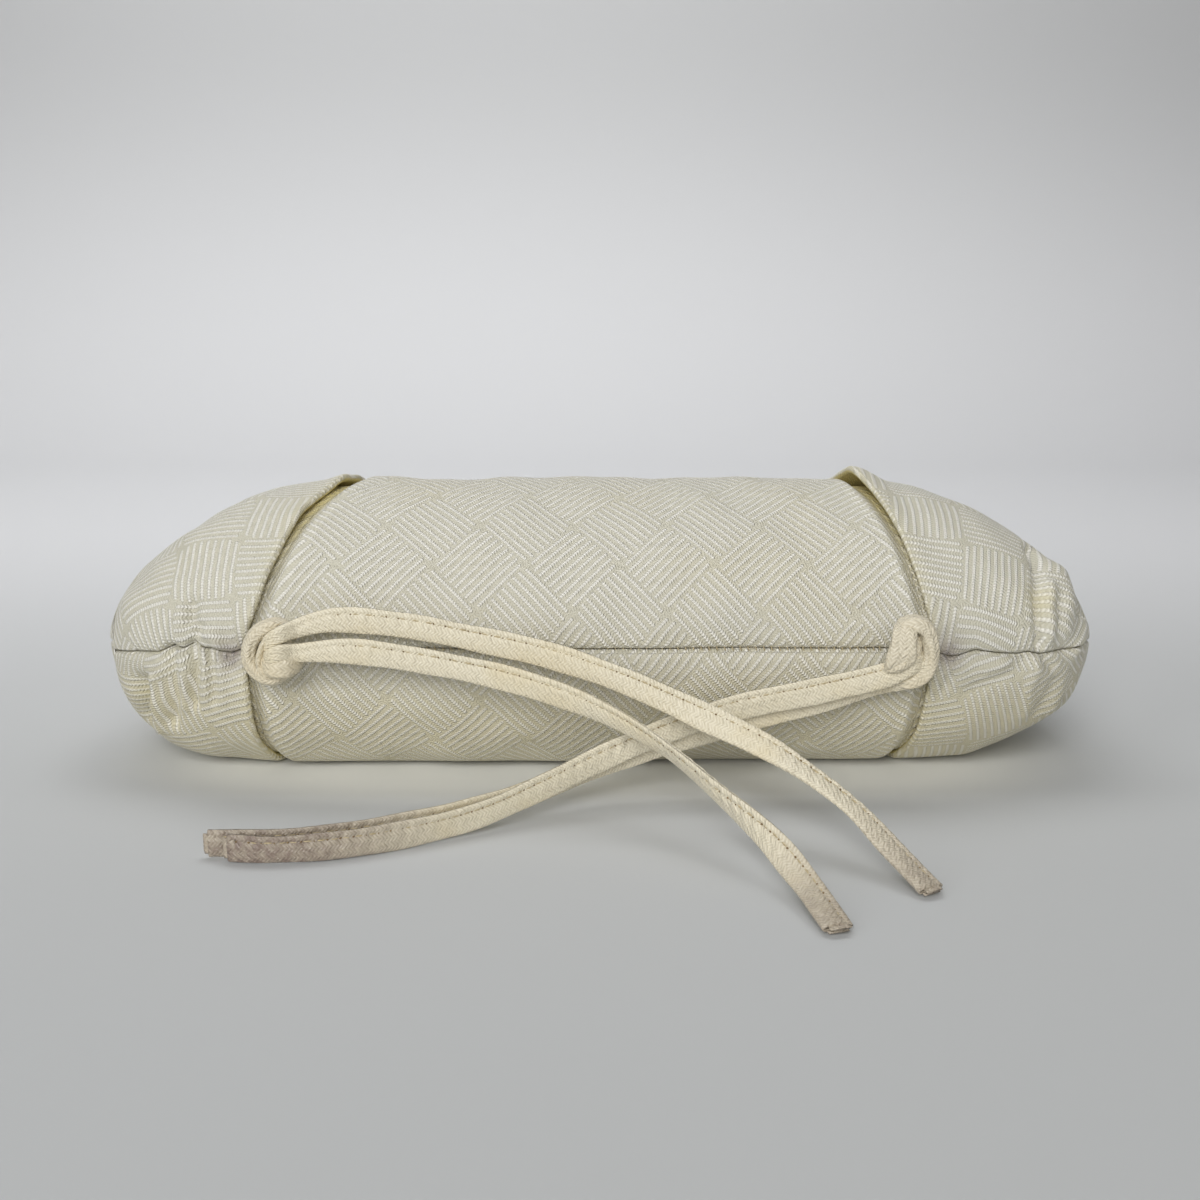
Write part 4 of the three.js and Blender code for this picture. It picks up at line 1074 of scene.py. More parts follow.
class BagShapeSettings(bpy.types.PropertyGroup):
    """Points, fold lips, unevenness and stitches of the cloth."""

    grid: length_property("Grid", "Spacing of the cloth's points", 0.0013)
    left_lip: length_property("Left lip", "How far the left fold's lip stands off at the crest", 0.0008)
    right_lip: length_property("Right lip", "How far the right fold's lip stands off at the crest", 0.0031)
    low_lip: length_property("Low lip", "How far the fold lips stand off beside the knots", 0.0005)
    lip_run: length_property("Lip run", "Length over which a lip comes back to the body", 0.011)
    unevenness: length_property("Unevenness", "Soft unevenness of the stuffed body", 0.0005)
    stitch: length_property("Stitch", "Spacing of the base seam's stitches", 0.0021)
    tie_stitch: length_property("Tie stitch", "Spacing of the ties' edge stitches", 0.0031)


# Stage

def make_camera():
    """Camera at the photograph's angle, before the base seam and tilted down."""
    data = bpy.data.cameras.new("camera")
    data.lens, data.sensor_width = CAMERA_LENS, CAMERA_SENSOR
    camera = bpy.data.objects.new("camera", data)
    camera.location = (0, BASE_Y - CAMERA_DISTANCE, CAMERA_HEIGHT)
    camera.rotation_euler = (QUARTER_TURN - CAMERA_TILT, 0, 0)
    bpy.context.scene.collection.objects.link(camera)
    bpy.context.scene.camera = camera


def make_lamp(name, place, aim, size, power, tone):
    """Square soft lamp that faces a point, both given from the middle of the base seam."""
    place, aim = (Vector(point) + Vector((0, BASE_Y, 0)) for point in (place, aim))
    data = bpy.data.lights.new(name, "AREA")
    data.size, data.energy, data.color = size, power, tone
    lamp = bpy.data.objects.new(name, data)
    lamp.location = place
    lamp.rotation_euler = (aim - place).to_track_quat("-Z", "Y").to_euler()
    bpy.context.scene.collection.objects.link(lamp)


def backdrop_cloth(tones):
    """Pale studio paper with painted light and shade: its tone turns evenly towards the left, to the
    back and up the backdrop, and a painted pool of light makes it lighter in a place with round
    corners about the bag's foot."""
    f = Finish("studio_paper")
    split = f.node("ShaderNodeSeparateXYZ", {"Vector": f.place()})
    # Painted light and shade: the tone turns across, behind the bag and up the backdrop as the lamps' light
    # falls there
    leftward = f.step(split.outputs["X"], TONE_ACROSS, -TONE_ACROSS)
    behind = f.step(split.outputs["Y"], BASE_Y, BASE_Y + TONE_BEHIND)
    upward = f.step(split.outputs["Z"], *TONE_UP)
    tone = f.mix(leftward, colour(tones.floor), colour(tones.floor_left))
    tone = f.mix(behind, tone, colour(tones.floor_behind))
    # Painted light: a lighter place about the bag's foot that lightens the bag's shadow on the paper
    across = f.math("DIVIDE", split.outputs["X"], FOOT_ACROSS)
    deep = f.math("DIVIDE", f.math("SUBTRACT", split.outputs["Y"], BASE_Y + FOOT_MIDDLE), FOOT_DEEP)
    away = f.math("ADD", f.math("POWER", f.math("ABSOLUTE", across), 4),
                  f.math("POWER", f.math("ABSOLUTE", deep), 4))
    tone = f.mix(f.step(f.math("POWER", away, 0.25), *FOOT_EDGE), tone, colour(tones.floor_painted_light))
    f.feed(f.shader.inputs["Base Color"], f.mix(upward, tone, colour(tones.backdrop)))
    f.shader.inputs["Roughness"].default_value = 0.7
    f.shader.inputs["Specular IOR Level"].default_value = 0.2
    return f.material


def make_backdrop(tones):
    """Floor that turns up into a backdrop: a straight run, a quarter circle and an upright
    run, carried across."""
    turn = np.linspace(0, QUARTER_TURN, 33)
    upright = PAPER_BEHIND + PAPER_BEND
    run = np.concatenate([[-PAPER_FRONT], PAPER_BEHIND + PAPER_BEND * np.sin(turn), [upright]])
    rise = np.concatenate([[0], PAPER_BEND * (1 - np.cos(turn)), [PAPER_TOP]])
    across = np.array([-PAPER_HALF, PAPER_HALF])
    points = np.stack(np.broadcast_arrays(across[None], (BASE_Y + run)[:, None], rise[:, None]), -1)
    mesh = bpy.data.meshes.new("backdrop")
    faces = grid_quads(np.arange(points.shape[0] * 2).reshape(-1, 2))
    mesh.from_pydata(points.reshape(-1, 3).tolist(), [], faces.tolist())
    mesh.polygons.foreach_set("use_smooth", np.ones(len(mesh.polygons), bool))
    mesh.materials.append(backdrop_cloth(tones))
    backdrop = bpy.data.objects.new("backdrop", mesh)
    bpy.context.scene.collection.objects.link(backdrop)


def make_world(strength):
    """Even pale light from all round."""
    world = bpy.data.worlds.new("studio")
    world.use_nodes = True
    back = world.node_tree.nodes["Background"]
    back.inputs["Color"].default_value = SURROUND_TONE
    back.inputs["Strength"].default_value = strength
    bpy.context.scene.world = world


# Ties and knots

def band_rings(line, across, outline):
    """Rings of a band along a line, its section's width across and its wall square to it."""
    through = np.cross(tangents(line), across)
    return swept(line, across, through, outline)


def band_uv(line, outline):
    """Flat pattern of a band: the distance along it, and round its section."""
    along = distances(line)
    round_it = distances(outline[len(outline) // 2])
    return np.stack(np.broadcast_arrays(along[:, None], round_it[None]), -1)


def joined(name, parts, material):
    """One piece from several closed tubes: each part has rings, a flat pattern and soil."""
    points, faces, uv, soil, start = [], [], [], [], 0
    for rings, flat, dirt in parts:
        count, sides = rings.shape[:2]
        points.append(rings.reshape(-1, 3))
        uv.append(flat.reshape(-1, 2))
        soil.append(np.broadcast_to(dirt, (count, sides)).ravel())
        faces += [[k + start for k in face] for face in tube_faces(count, sides)]
        start += count * sides
    return make_piece(name, np.concatenate(points), faces, material, np.concatenate(uv),
                      {"soil": np.concatenate(soil)})


def tie_frame(name):
    """Middle line of a tie from inside its knot to its cut end, the direction of its width
    there, and its share of the way from the knot. The width stands upright, or turns down
    flat between the tie's two shares."""
    line = smooth_path(from_seam(TIE_ROOTS[name] + TIE_ROUTES[name]), 0.8 * MM)
    along = distances(line)
    first = np.argmin(np.linalg.norm(line - from_seam(TIE_ROUTES[name][0]), axis=1))
    share = np.clip((along - along[first]) / (along[-1] - along[first]), 0, 1)
    t = tangents(line)
    upright = unit(np.array([0, 0, 1.0]) - t * t[:, 2:])
    level = np.cross(upright, t)
    start, end, middle, run, back = TIE_TURNS.get(name, NO_TURN)
    turn = QUARTER_TURN * smooth(share, start, end) + back * np.exp(-((share - middle) / run) ** 2)
    turn = turn[:, None]
    return line, upright * np.cos(turn) + level * np.sin(turn), share, along


def tie_section(name, along):
    """Section of a tie along its way: a flat superellipse, drawn together at the knot, with a
    groove on both faces where it is stitched beside its upper edge, and small puckers there."""
    base = oval(44, 3.0)
    gathered = smooth(along, 0, TIE_SPREAD[name])
    width = TIE_WIDTH * lerp(TIE_GATHERED, 1.0, gathered)
    thick = TIE_THICKNESS * lerp(1.25, 0.72, gathered)
    # The waves start at another place on each tie
    beat = len(name) * 1.7 + ord(name[-2])
    swell = 0.035 * np.sin(along / (9 * MM) + beat) + 0.025 * np.sin(along / (3.1 * MM) + beat)
    width = width * (1 + swell)
    across = base[None, :, 0] * width[:, None] / 2
    from_stitch = across - (width[:, None] / 2 - TIE_SEAM_IN)
    groove = 0.45 * np.exp(-(from_stitch / (0.45 * MM)) ** 2)
    drift = 0.8 * np.sin(along / (13 * MM) + beat) + 0.6 * np.sin(along / (5.3 * MM) + 2 * beat)
    slant = along[:, None] / (4.1 * MM) * 2 * math.pi + across / (1.5 * MM) + drift[:, None]
    strength = 0.17 + 0.1 * np.sin(along / (17 * MM) + beat)[:, None]
    pucker = strength * np.sin(slant) * np.exp(-(from_stitch / (3.4 * MM)) ** 2)
    soft = 0.11 * np.sin(along[:, None] / (7.7 * MM) + across / (2.2 * MM) + beat)
    through = base[None, :, 1] * thick[:, None] / 2 * (1 - (groove + pucker + soft) * gathered[:, None])
    return np.stack([across, through], -1)


def tie_end(line, across, outline):
    """The cut end: the band's last ring, drawn in, then set back inside, as a hollow tube's."""
    back = unit(line[-2] - line[-1])
    line = np.concatenate([line, [line[-1], line[-1] + back * 1.1 * MM]])
    across = np.concatenate([across, across[-1:], across[-1:]])
    outline = np.concatenate([outline, outline[-1:] * (0.9, 0.62), outline[-1:] * (0.85, 0.45)])
    return line, across, outline


def end_layers(line, across):
    """Three folded layers that show in a cut end: thin strips that stand out of it unevenly."""
    out = unit(line[-1] - line[-2])
    through = np.cross(out, across[-1])
    parts = []
    for place, reach, share in END_LAYERS:
        middle = line[-1] + through * place * MM
        spine = middle + out * np.linspace(-2.0, reach, 8)[:, None] * MM
        sides = np.repeat(across[-1:], 8, axis=0)
        flat = oval(16, 3) * (TIE_WIDTH * share / 2, 0.2 * MM)
        flat = np.repeat(flat[None], 8, axis=0)
        parts.append((band_rings(spine, sides, flat), band_uv(spine, flat), 0.7))
    return parts


def make_ties(cloth, shape):
    """The four flat ties with their edge stitching and cut ends."""
    parts = []
    seams = []
    for name in TIE_ROUTES:
        line, across, share, along = tie_frame(name)
        outline = tie_section(name, along)
        parts += end_layers(line, across)
        facing = np.cross(tangents(line), across)
        side = -np.sign((facing @ np.array([0, 1.0, -0.5])).sum())
        seams.append((name, line, across, facing * side, along))
        long_line, long_across, long_outline = tie_end(line, across, outline)
        t = np.concatenate([tangents(line), np.repeat(tangents(line)[-1:], 2, axis=0)])
        rings = swept(long_line, long_across, np.cross(t, long_across), long_outline)
        stain = TIE_STAINS[name]
        soil = smooth(np.concatenate([share, [1, 1]]), *stain[:2]) * stain[2]
        tie = tube_piece(name + "_cloth", rings, tie_satin(cloth), band_uv(long_line, long_outline),
                         {"soil": np.broadcast_to(soil[:, None], rings.shape[:2])})
        settle(tie, "bag", "tie_satin", name)
    settle(joined("tie_end_layers", parts, tie_satin(cloth)), "bag", "tie_satin")
    make_tie_stitches(seams, cloth, shape)


def make_tie_stitches(seams, cloth, shape):
    """Running stitches in the ties' seam grooves: a short stitch, then a gap, on the side
    that shows."""
    centres, runs, ups = [], [], []
    for name, line, across, facing, along in seams:
        at = np.arange(TIE_STITCH_FROM, along[-1] - TIE_STITCH_TO, shape.tie_stitch)
        width = TIE_WIDTH * lerp(TIE_GATHERED, 1.0, smooth(at, 0, TIE_SPREAD[name]))[:, None]
        up = unit(sampled(facing, along, at))
        aside = sampled(across, along, at) * (width / 2 - TIE_SEAM_IN)
        centres.append(sampled(line, along, at) + aside + up * 0.5 * MM)
        runs.append(unit(sampled(tangents(line), along, at)))
        ups.append(up)
    rows = [np.concatenate(group) for group in (centres, runs, ups)]
    stitched = stitches("tie_stitches", *rows, length=shape.tie_stitch * 0.7, radius=0.2 * MM,
                        material=thread(cloth))
    settle(stitched, "bag", "tie_satin")
    # Painted shade: a small dark capsule in each needle hole, between the stitches
    rows[0] = rows[0] + rows[1] * shape.tie_stitch / 2
    holes = stitches("tie_needle_holes", *rows, length=0.62 * MM, radius=0.25 * MM,
                     material=needle_hole(cloth))
    settle(holes, "bag", "tie_satin")


def make_knot(name, bands, cloth):
    """Overhand knot: bands of the tie's cloth laid round and through each other, each a
    superellipse carried along its turn, with soft lengthwise creases and drawn-in ends."""
    parts = []
    for number, (points, guide, width, thick, power) in enumerate(bands):
        line = smooth_path(from_seam(points), 0.45 * MM)
        t = tangents(line)
        guide = unit(np.array(guide, float))
        across = unit(guide - t * (t @ guide)[:, None])
        base = oval(40, power)
        share = np.linspace(-1, 1, len(line))[:, None]
        wide = lerp(*width, (share + 1) / 2) * MM / 2
        drawn = np.sqrt(1 - np.abs(share) ** 7 * 0.75)
        angle = np.arctan2(base[:, 1], base[:, 0])[None]
        deep_crease = 0.09 * np.cos(2.5 * angle + 2 * share + number) ** 8
        crease = 1 - deep_crease - 0.03 * np.cos(7 * angle - 3 * share)
        section = (base[None, :, 0] * wide, base[None, :, 1] * thick * MM / 2)
        outline = np.stack(np.broadcast_arrays(*section), -1) * (drawn * crease)[..., None]
        parts.append((band_rings(line, across, outline), band_uv(line, outline), 0.12))
    knot = joined(name + "_bands", parts, tie_satin(cloth))
    settle(knot, "bag", "tie_satin", name)


# Stuffed body

def body_rows(shape, rim, start=0.0, end=None):
    """Distances of the rows from the base seam, with their rise and share, as columns."""
    along = stations(shape.grid, rim, start, end)[:, None]
    return (along, *row_angles(along))


def crest_share(rise, share):
    """1 at the crest, falling to nothing at the base seam and at the mouth."""
    return (1 - smooth(rise, 0.15, 1.15)) * (1 - 0.8 * share)


def lip_height(shape, fold, face, along, rise, share):
    """How far a fold's lip stands off: least beside the knot and most on the front's crest, with
    the right one curled up into an ear there; on the back it fades out from the base seam."""
    if face == "back":
        return shape.low_lip * np.clip(1 - along / (40 * MM), 0, 1)
    high = shape.left_lip if fold is LEFT_FOLD else shape.right_lip * 0.6
    lip = shape.low_lip + (high - shape.low_lip) * crest_share(rise, share)
    if fold is RIGHT_FOLD:
        lip = lip + shape.right_lip * 0.4 * np.exp(-((along - NOSE_LENGTH) / (15 * MM)) ** 2)
    return lip


def seam_pinch(points):
    """How far the cloth is drawn in beside a sewn edge: a bell of the distance to the base
    seam's row."""
    gap = np.linalg.norm(points - points[:1], axis=-1)
    return -0.7 * MM * np.exp(-(gap / (3.4 * MM)) ** 2) - 0.4 * MM * np.exp(-(gap / (1.3 * MM)) ** 2)


def seam_to_seam(face, along, rise, share, bare_shares, step_shares, hidden_shares):
    """Arcs of a sheet's columns from side seam to side seam, and how far each lies beyond the
    fold edge of its side: bare as far as the step, down the step, and hidden under the fold,
    each at given shares of its own length."""
    sides = []
    for fold in (LEFT_FOLD, RIGHT_FOLD):
        edge = fold_arc(fold, rise, share, face) - FOLD_SIDE_CLEARANCE
        bare = (edge - FOLD_STEP) * bare_shares
        step = edge - FOLD_STEP + FOLD_STEP * step_shares
        hidden = edge + (LAST_ARC - edge) * hidden_shares
        arcs = np.concatenate([bare, step, hidden], axis=1)
        sides.append((arcs * fold["side"], arcs - edge))
    arc = np.concatenate([sides[0][0][:, ::-1], 0 * along, sides[1][0]], axis=1)
    beyond = np.concatenate([sides[0][1][:, ::-1], 0 * along - FAR_FROM_FOLDS, sides[1][1]], axis=1)
    return arc, beyond


def make_fold(fold, face, cloth, shape):
    """Folded corner: the cloth laid over the panel, from its lip round to the side seam, with
    its creases and lumps, drawn in at the base seam, its dirt, and painted warm shade along its
    lip, in its aged places and on its hidden inner face."""
    rim = FOLD_WALL / 2
    along, rise, share = body_rows(shape, rim)
    edge = fold_arc(fold, rise, share, face)
    inward = spread(LAST_ARC - edge, rounding(rim), int(FOLD_SPAN / shape.grid))
    openness = 1 - smooth(inward, 0, shape.lip_run)
    lean = fold["lean"] * crest_share(rise, share) * openness if face == "front" else 0 * inward
    rise_grid, share_grid = np.broadcast_arrays(rise, share, inward)[:2]
    points = skin(fold["side"] * (edge + inward - lean), rise_grid, share_grid, face)
    normal = outward(points, face)
    low = 1 - smooth(points[..., 1] - BASE_Y, *MARKS_FADE)
    lift = lip_height(shape, fold, face, along, rise, share) * openness ** 1.4
    uneven = waves(points, size=0.034, seed=11) + 0.45 * waves(points, size=0.015, seed=12)
    uneven = uneven * shape.unevenness
    settled = 1 - smooth(points[..., 2], TABLE_TOUCH, 0) if face == "back" else 1.0
    marked = relief(points, fold["marks"]) * low
    middle = lift + marked + (uneven + seam_pinch(points)) * settled - FOLD_WALL / 2
    half = FOLD_WALL / 2 * rim_profile(points, rim)
    outer = shell(points, normal, middle + half)
    inner = shell(points, normal, middle - half)
    outer[..., 2] += wander(outer)
    inner[..., 2] += wander(inner)
    way = 1 if face == "front" else -1
    guess = np.stack(np.broadcast_arrays(fold["side"] * (edge + inward), way * along), -1)
    uv = turned(flattened(points, guess), fold["grain"][face], shift=(0.4, 0.2))
    soil = spots(points, fold["dirt"], 0.85, DIRT_SPREAD)
    # Painted warm shade: yellow along the lip's edge and in the aged places, and nearly full on the hidden
    # inner face
    warm = 0.2 * np.exp(-inward / (2.5 * MM)) + spots(points, fold["aged"], 0.28, HOLLOW_SHADE_SPREAD)
    inside = 0.95 + 0 * inward
    name = f"{fold['name']}_corner_fold_{face}"
    piece = closed_sheet(name + "_cloth", outer, inner, satin_jacquard(cloth), uv,
                         {"soil": (soil, 0 * soil), "warm": (np.clip(warm, 0, 0.5), inside)})
    settle(piece, "bag", "satin_jacquard", name)


def spots(points, places, strength, spread_out):
    """Spots of dirt or age: a strength times a bell of the distance to each place."""
    total = np.zeros(points.shape[:2])
    for place in places:
        away = np.linalg.norm(points - from_seam(place), axis=-1)
        total = total + strength * np.exp(-(away / spread_out) ** 2)
    return total


def pressed(points, beyond):
    """How far the folded corners' marks press the layers under them."""
    under = smooth(beyond, -FOLD_STEP, 0) * (1 - smooth(points[..., 1] - BASE_Y, *MARKS_FADE))
    return (relief(points, LEFT_MARKS) + relief(points, RIGHT_MARKS)) * under


def make_panel(face, cloth, shape):
    """Outer panel: bare in the middle, dipping under each folded corner, and drawn in at the
    base seam."""
    rim = PANEL_WALL / 2
    along, rise, share = body_rows(shape, rim)
    bare_shares, step_shares = np.linspace(0, 1, int(BARE_SPAN / shape.grid))[1:], np.linspace(0, 1, 8)[1:]
    hidden_shares = np.concatenate([np.linspace(0, 0.97, 24)[1:], [0.985, 0.993, 0.998, 1]])
    arc, beyond = seam_to_seam(face, along, rise, share, bare_shares, step_shares, hidden_shares)
    rise_grid, share_grid = np.broadcast_arrays(rise, share, arc)[:2]
    points = skin(arc, rise_grid, share_grid, face)
    normal = outward(points, face)
    uneven = waves(points, size=0.05, seed=21) + 0.5 * waves(points, size=0.02, seed=22)
    uneven = uneven * shape.unevenness
    settled = 1 - smooth(points[..., 2], TABLE_TOUCH, 0) if face == "back" else 1.0
    bare_share = 1 - smooth(beyond, -FOLD_STEP, 0)
    dip = UNDER_FOLD * (1 - bare_share)
    marked = relief(points, PANEL_MARKS) + pressed(points, beyond)
    middle = (uneven * bare_share + seam_pinch(points) + marked) * settled - dip - PANEL_WALL / 2
    half = PANEL_WALL / 2 * rim_profile(points, rim)
    way = 1 if face == "front" else -1
    guess = np.stack(np.broadcast_arrays(arc, way * along), -1)
    uv = turned(flattened(points, guess), 45, shift=(0.3, 0.3))
    # Painted warm shade on the panel under the fold's lip and over its step
    lip_shade = smooth(beyond, -2.2 * MM, 0.5 * MM) * (crest_share(rise, share) if face == "front" else 0)
    warm = lip_shade * 0.7 + 0.12 * smooth(beyond, -5 * MM, 0)
    outer, inner = shell(points, normal, middle + half), shell(points, normal, middle - half)
    piece = closed_sheet(face + "_panel_cloth", outer, inner, satin_jacquard(cloth), uv,
                         {"soil": (0 * arc, 0 * arc), "warm": (warm, 0 * arc)})
    settle(piece, "bag", "satin_jacquard", face + "_panel")


def make_seam_stitches(cloth, shape):
    """Stitches of the base seam: short bars across the groove, from one panel to the other."""
    arc = np.arange(-HALF_FLAT - SEAM_PAST_LEFT, HALF_FLAT + SEAM_PAST_RIGHT, shape.stitch)
    points = skin(arc, QUARTER_TURN + 0 * arc, 0 * arc, "front")
    points[:, 2] = SEAM_HEIGHT
    out = unit(outward(points, "front") * (1, 1, 0))
    up = np.array([0, 0, 1.0])
    lean = unit(np.cross(out, up) * SEAM_STITCH_LEAN + up)
    centres = points - out * SEAM_STITCH_DEEP
    piece = stitches("base_seam_stitches", centres, lean, out, length=1.5 * MM, radius=0.17 * MM,
                     material=thread(cloth))
    settle(piece, "bag", "satin_jacquard")


def layer_sheet(name, face, material, start, end, shape):
    """Inner layer of the bag: a thin sheet that lies inside the panel from side seam to side
    seam, and further in by the folded corners' depth where they lie over it. Gives the piece
    and its flat pattern."""
    rim = LINING_WALL / 2
    along, rise, share = body_rows(shape, rim, start, end)
    bare_shares, step_shares = np.linspace(0, 1, 30)[1:], np.linspace(0, 1, 6)[1:]
    hidden_shares = np.concatenate([np.linspace(0, 0.98, 40)[1:], [0.99, 0.996, 1]])
    arc, beyond = seam_to_seam(face, along, rise, share, bare_shares, step_shares, hidden_shares)
    rise_grid, share_grid = np.broadcast_arrays(rise, share, arc)[:2]
    points = skin(arc, rise_grid, share_grid, face)
    normal = outward(points, face)
    sag = 0.35 * MM * (waves(points, size=0.03, seed=31) - 1)
    middle = sag + np.minimum(pressed(points, beyond), 0) - LINING_INSET - LINING_WALL / 2
    middle = middle - UNDER_FOLD * smooth(beyond, -FOLD_STEP, 0)
    half = LINING_WALL / 2 * rim_profile(points, rim)
    outer, inner = shell(points, normal, middle + half), shell(points, normal, middle - half)
    guess = np.stack(np.broadcast_arrays(arc, along), -1)
    uv = flattened(points, guess)
    return closed_sheet(name, outer, inner, material, uv, clean(points)), uv


def make_linings(cloth, shape):
    """Linings and mouth facings, which meet a facing's depth inside the mouth, but for a gap."""
    joint = NOSE_LENGTH + BODY_LENGTH * (BAG_DEPTH - FACING_DEPTH - NOSE_DEPTH) / (BAG_DEPTH - NOSE_DEPTH)
    start, end = joint + SEAM_GAP, joint - SEAM_GAP
    for face in ("front", "back"):
        lining, uv = layer_sheet(face + "_lining_cloth", face, lining_satin(cloth), 0, end, shape)
        settle(lining, "bag", "lining_satin", face + "_lining")
        facing, uv = layer_sheet(face + "_facing_cloth", face, satin_jacquard(cloth), start, None, shape)
        settle(facing, "bag", "satin_jacquard", face + "_mouth_facing")


def make_pocket(cloth):
    """Slip pocket: a flat sheet of its node's size with round rims, and the groove of a hem,
    a bell of the distance to its line below the open edge."""
    low, high = lowest("slip_pocket"), highest("slip_pocket")
    rim = rounding(POCKET_RIM)
    across = np.concatenate([low[0] + rim, np.linspace(low[0], high[0], 60)[1:-1], high[0] - rim[::-1]])
    along = np.concatenate([low[1] + rim, np.linspace(low[1], high[1], 40)[1:-1], high[1] - rim[::-1]])
    points = np.stack(np.broadcast_arrays(across[None], along[:, None], (low[2] + high[2]) / 2), -1)
    hem = 0.12 * MM * np.exp(-((high[1] - points[..., 1] - POCKET_HEM) / (0.8 * MM)) ** 2)
    half = (high[2] - low[2]) / 2 * rim_profile(points, POCKET_RIM)
    up = np.array([0, 0, 1.0])
    pocket = closed_sheet("slip_pocket_cloth", points + up * (half - hem)[..., None],
                          points - up * half[..., None], lining_satin(cloth), points[..., :2])
    settle(pocket, "bag", "lining_satin", "slip_pocket")


# Flap, snap, tabs, rings and strap

def panel_height(y):
    """Height of the front panel's middle at a distance from the base seam, in millimetres."""
    return float(crest_line((y * MM - NOSE_DEPTH) / (BAG_DEPTH - NOSE_DEPTH))) / MM


def panel_normal(y):
    """Direction square to the front panel's middle in the side view, from the fall of its
    height over a millimetre about that distance from the base seam."""
    direction = np.array([panel_height(y - 0.5) - panel_height(y + 0.5), 1.0])
    return direction / np.linalg.norm(direction)


def above_panel(y, height):
    """Point of the side view some millimetres above the front panel's middle."""
    return np.array([y, panel_height(y) + SEAM_GAP / MM]) + panel_normal(y) * height


def bend_open(piece, *nodes):
    """The piece's place is baked into its mesh, and it stands for its nodes."""
    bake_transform(piece)
    if nodes:
        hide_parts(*nodes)


def make_flap(cloth):
    """Closing flap: a padded tongue carried along its side view from the back lip, over the
    mouth, to its round tip on the front, with a groove for the topstitching."""
    mouth = BAG_DEPTH / MM
    side = FLAP_PATH + [tuple(above_panel(mouth - s * FLAP_REACH, FLAP_ABOVE)) for s in FLAP_SHARES]
    line = smooth_path([(0, y, z) for y, z in side], 0.9) * MM + np.array([0, BASE_Y, 0])
    width = highest("closing_flap")[0] - lowest("closing_flap")[0]
    along = distances(line)
    left = np.clip(along[-1] - along, 0, FLAP_CORNER)
    corner = np.sqrt(np.maximum(FLAP_CORNER ** 2 - (FLAP_CORNER - left) ** 2, (1.5 * MM) ** 2))
    half_width = width / 2 - FLAP_CORNER + corner
    share = np.concatenate([-1 + rounding(0.07), np.linspace(-0.9, 0.9, 34), 1 - rounding(0.07)[::-1]])
    points = line[:, None] + half_width[:, None, None] * share[None, :, None] * np.array([1.0, 0, 0])
    normal = np.cross(np.array([1.0, 0, 0]), tangents(line))
    normal *= np.sign(normal[-1, 2])
    gap = np.minimum(half_width[:, None] * (1 - np.abs(share)), left[:, None] + 0 * share)
    groove = 0.3 * MM * np.exp(-((gap - FLAP_STITCH_IN) / (0.6 * MM)) ** 2)
    half = FLAP_WALL / 2 * rim_profile(points, FLAP_WALL / 2)
    uv = turned(np.stack(np.broadcast_arrays(points[..., 0], along[:, None]), -1), 45)
    outer = points + normal[:, None] * (half - groove)[..., None]
    inner = points - normal[:, None] * half[..., None]
    flap = closed_sheet("closing_flap_cloth", outer, inner, satin_jacquard(cloth), uv, clean(points))
    bend_open(flap, "closing_flap")
    make_flap_stitches(line, along, normal, half_width, cloth)


def make_flap_stitches(line, along, normal, half_width, cloth):
    """Topstitching of the flap: one row in each side's groove."""
    at = np.arange(6 * MM, along[-1] - FLAP_STITCH_IN, FLAP_STITCH)
    up = unit(sampled(normal, along, at))
    run = unit(sampled(tangents(line), along, at))
    out = (np.interp(at, along, half_width) - FLAP_STITCH_IN)[:, None] * np.array([1.0, 0, 0])
    middle = sampled(line, along, at)
    centres = np.concatenate([middle - out + up * 0.95 * MM, middle + out + up * 0.95 * MM])
    stitched = stitches("flap_stitches", centres, np.tile(run, (2, 1)), np.tile(up, (2, 1)),
                        length=1.7 * MM, radius=0.18 * MM, material=thread(cloth))
    bend_open(stitched)


def lathe(name, profile, material):
    """Metal disc turned about the front panel's normal at the snap: a closed profile of radii
    and heights in millimetres carried round in even steps."""
    profile = np.array(profile) * MM
    foot = above_panel(SNAP_Y, CLEARANCE / MM)
    base = from_seam((0, foot[0], foot[1]))
    up = np.array([0, *panel_normal(SNAP_Y)])
    side, other = np.array([1.0, 0, 0]), np.cross(up, np.array([1.0, 0, 0]))
    angle = 2 * math.pi * np.arange(SNAP_SIDES) / SNAP_SIDES
    spoke = np.cos(angle)[:, None] * side + np.sin(angle)[:, None] * other
    points = base + spoke[:, None] * profile[None, :, :1] + up * profile[None, :, 1:]
    index = np.arange(SNAP_SIDES * len(profile)).reshape(SNAP_SIDES, -1)
    index = np.concatenate([index, index[:1]])
    faces = grid_quads(np.concatenate([index, index[:, :1]], axis=1))
    return make_piece(name, points.reshape(-1, 3), faces, material)


def make_snap(cloth):
    """Snap: the stud on the panel, a domed plate with a boss, and the socket in the flap, a
    ring with rounded edges. Each has a small hole through its middle."""
    settle(lathe("snap_stud_metal", SNAP_STUD, brass(cloth)), "bag", "ring_metal", "snap_stud")
    settle(lathe("snap_socket_metal", SNAP_SOCKET, brass(cloth)), "flap", "ring_metal", "snap_socket")


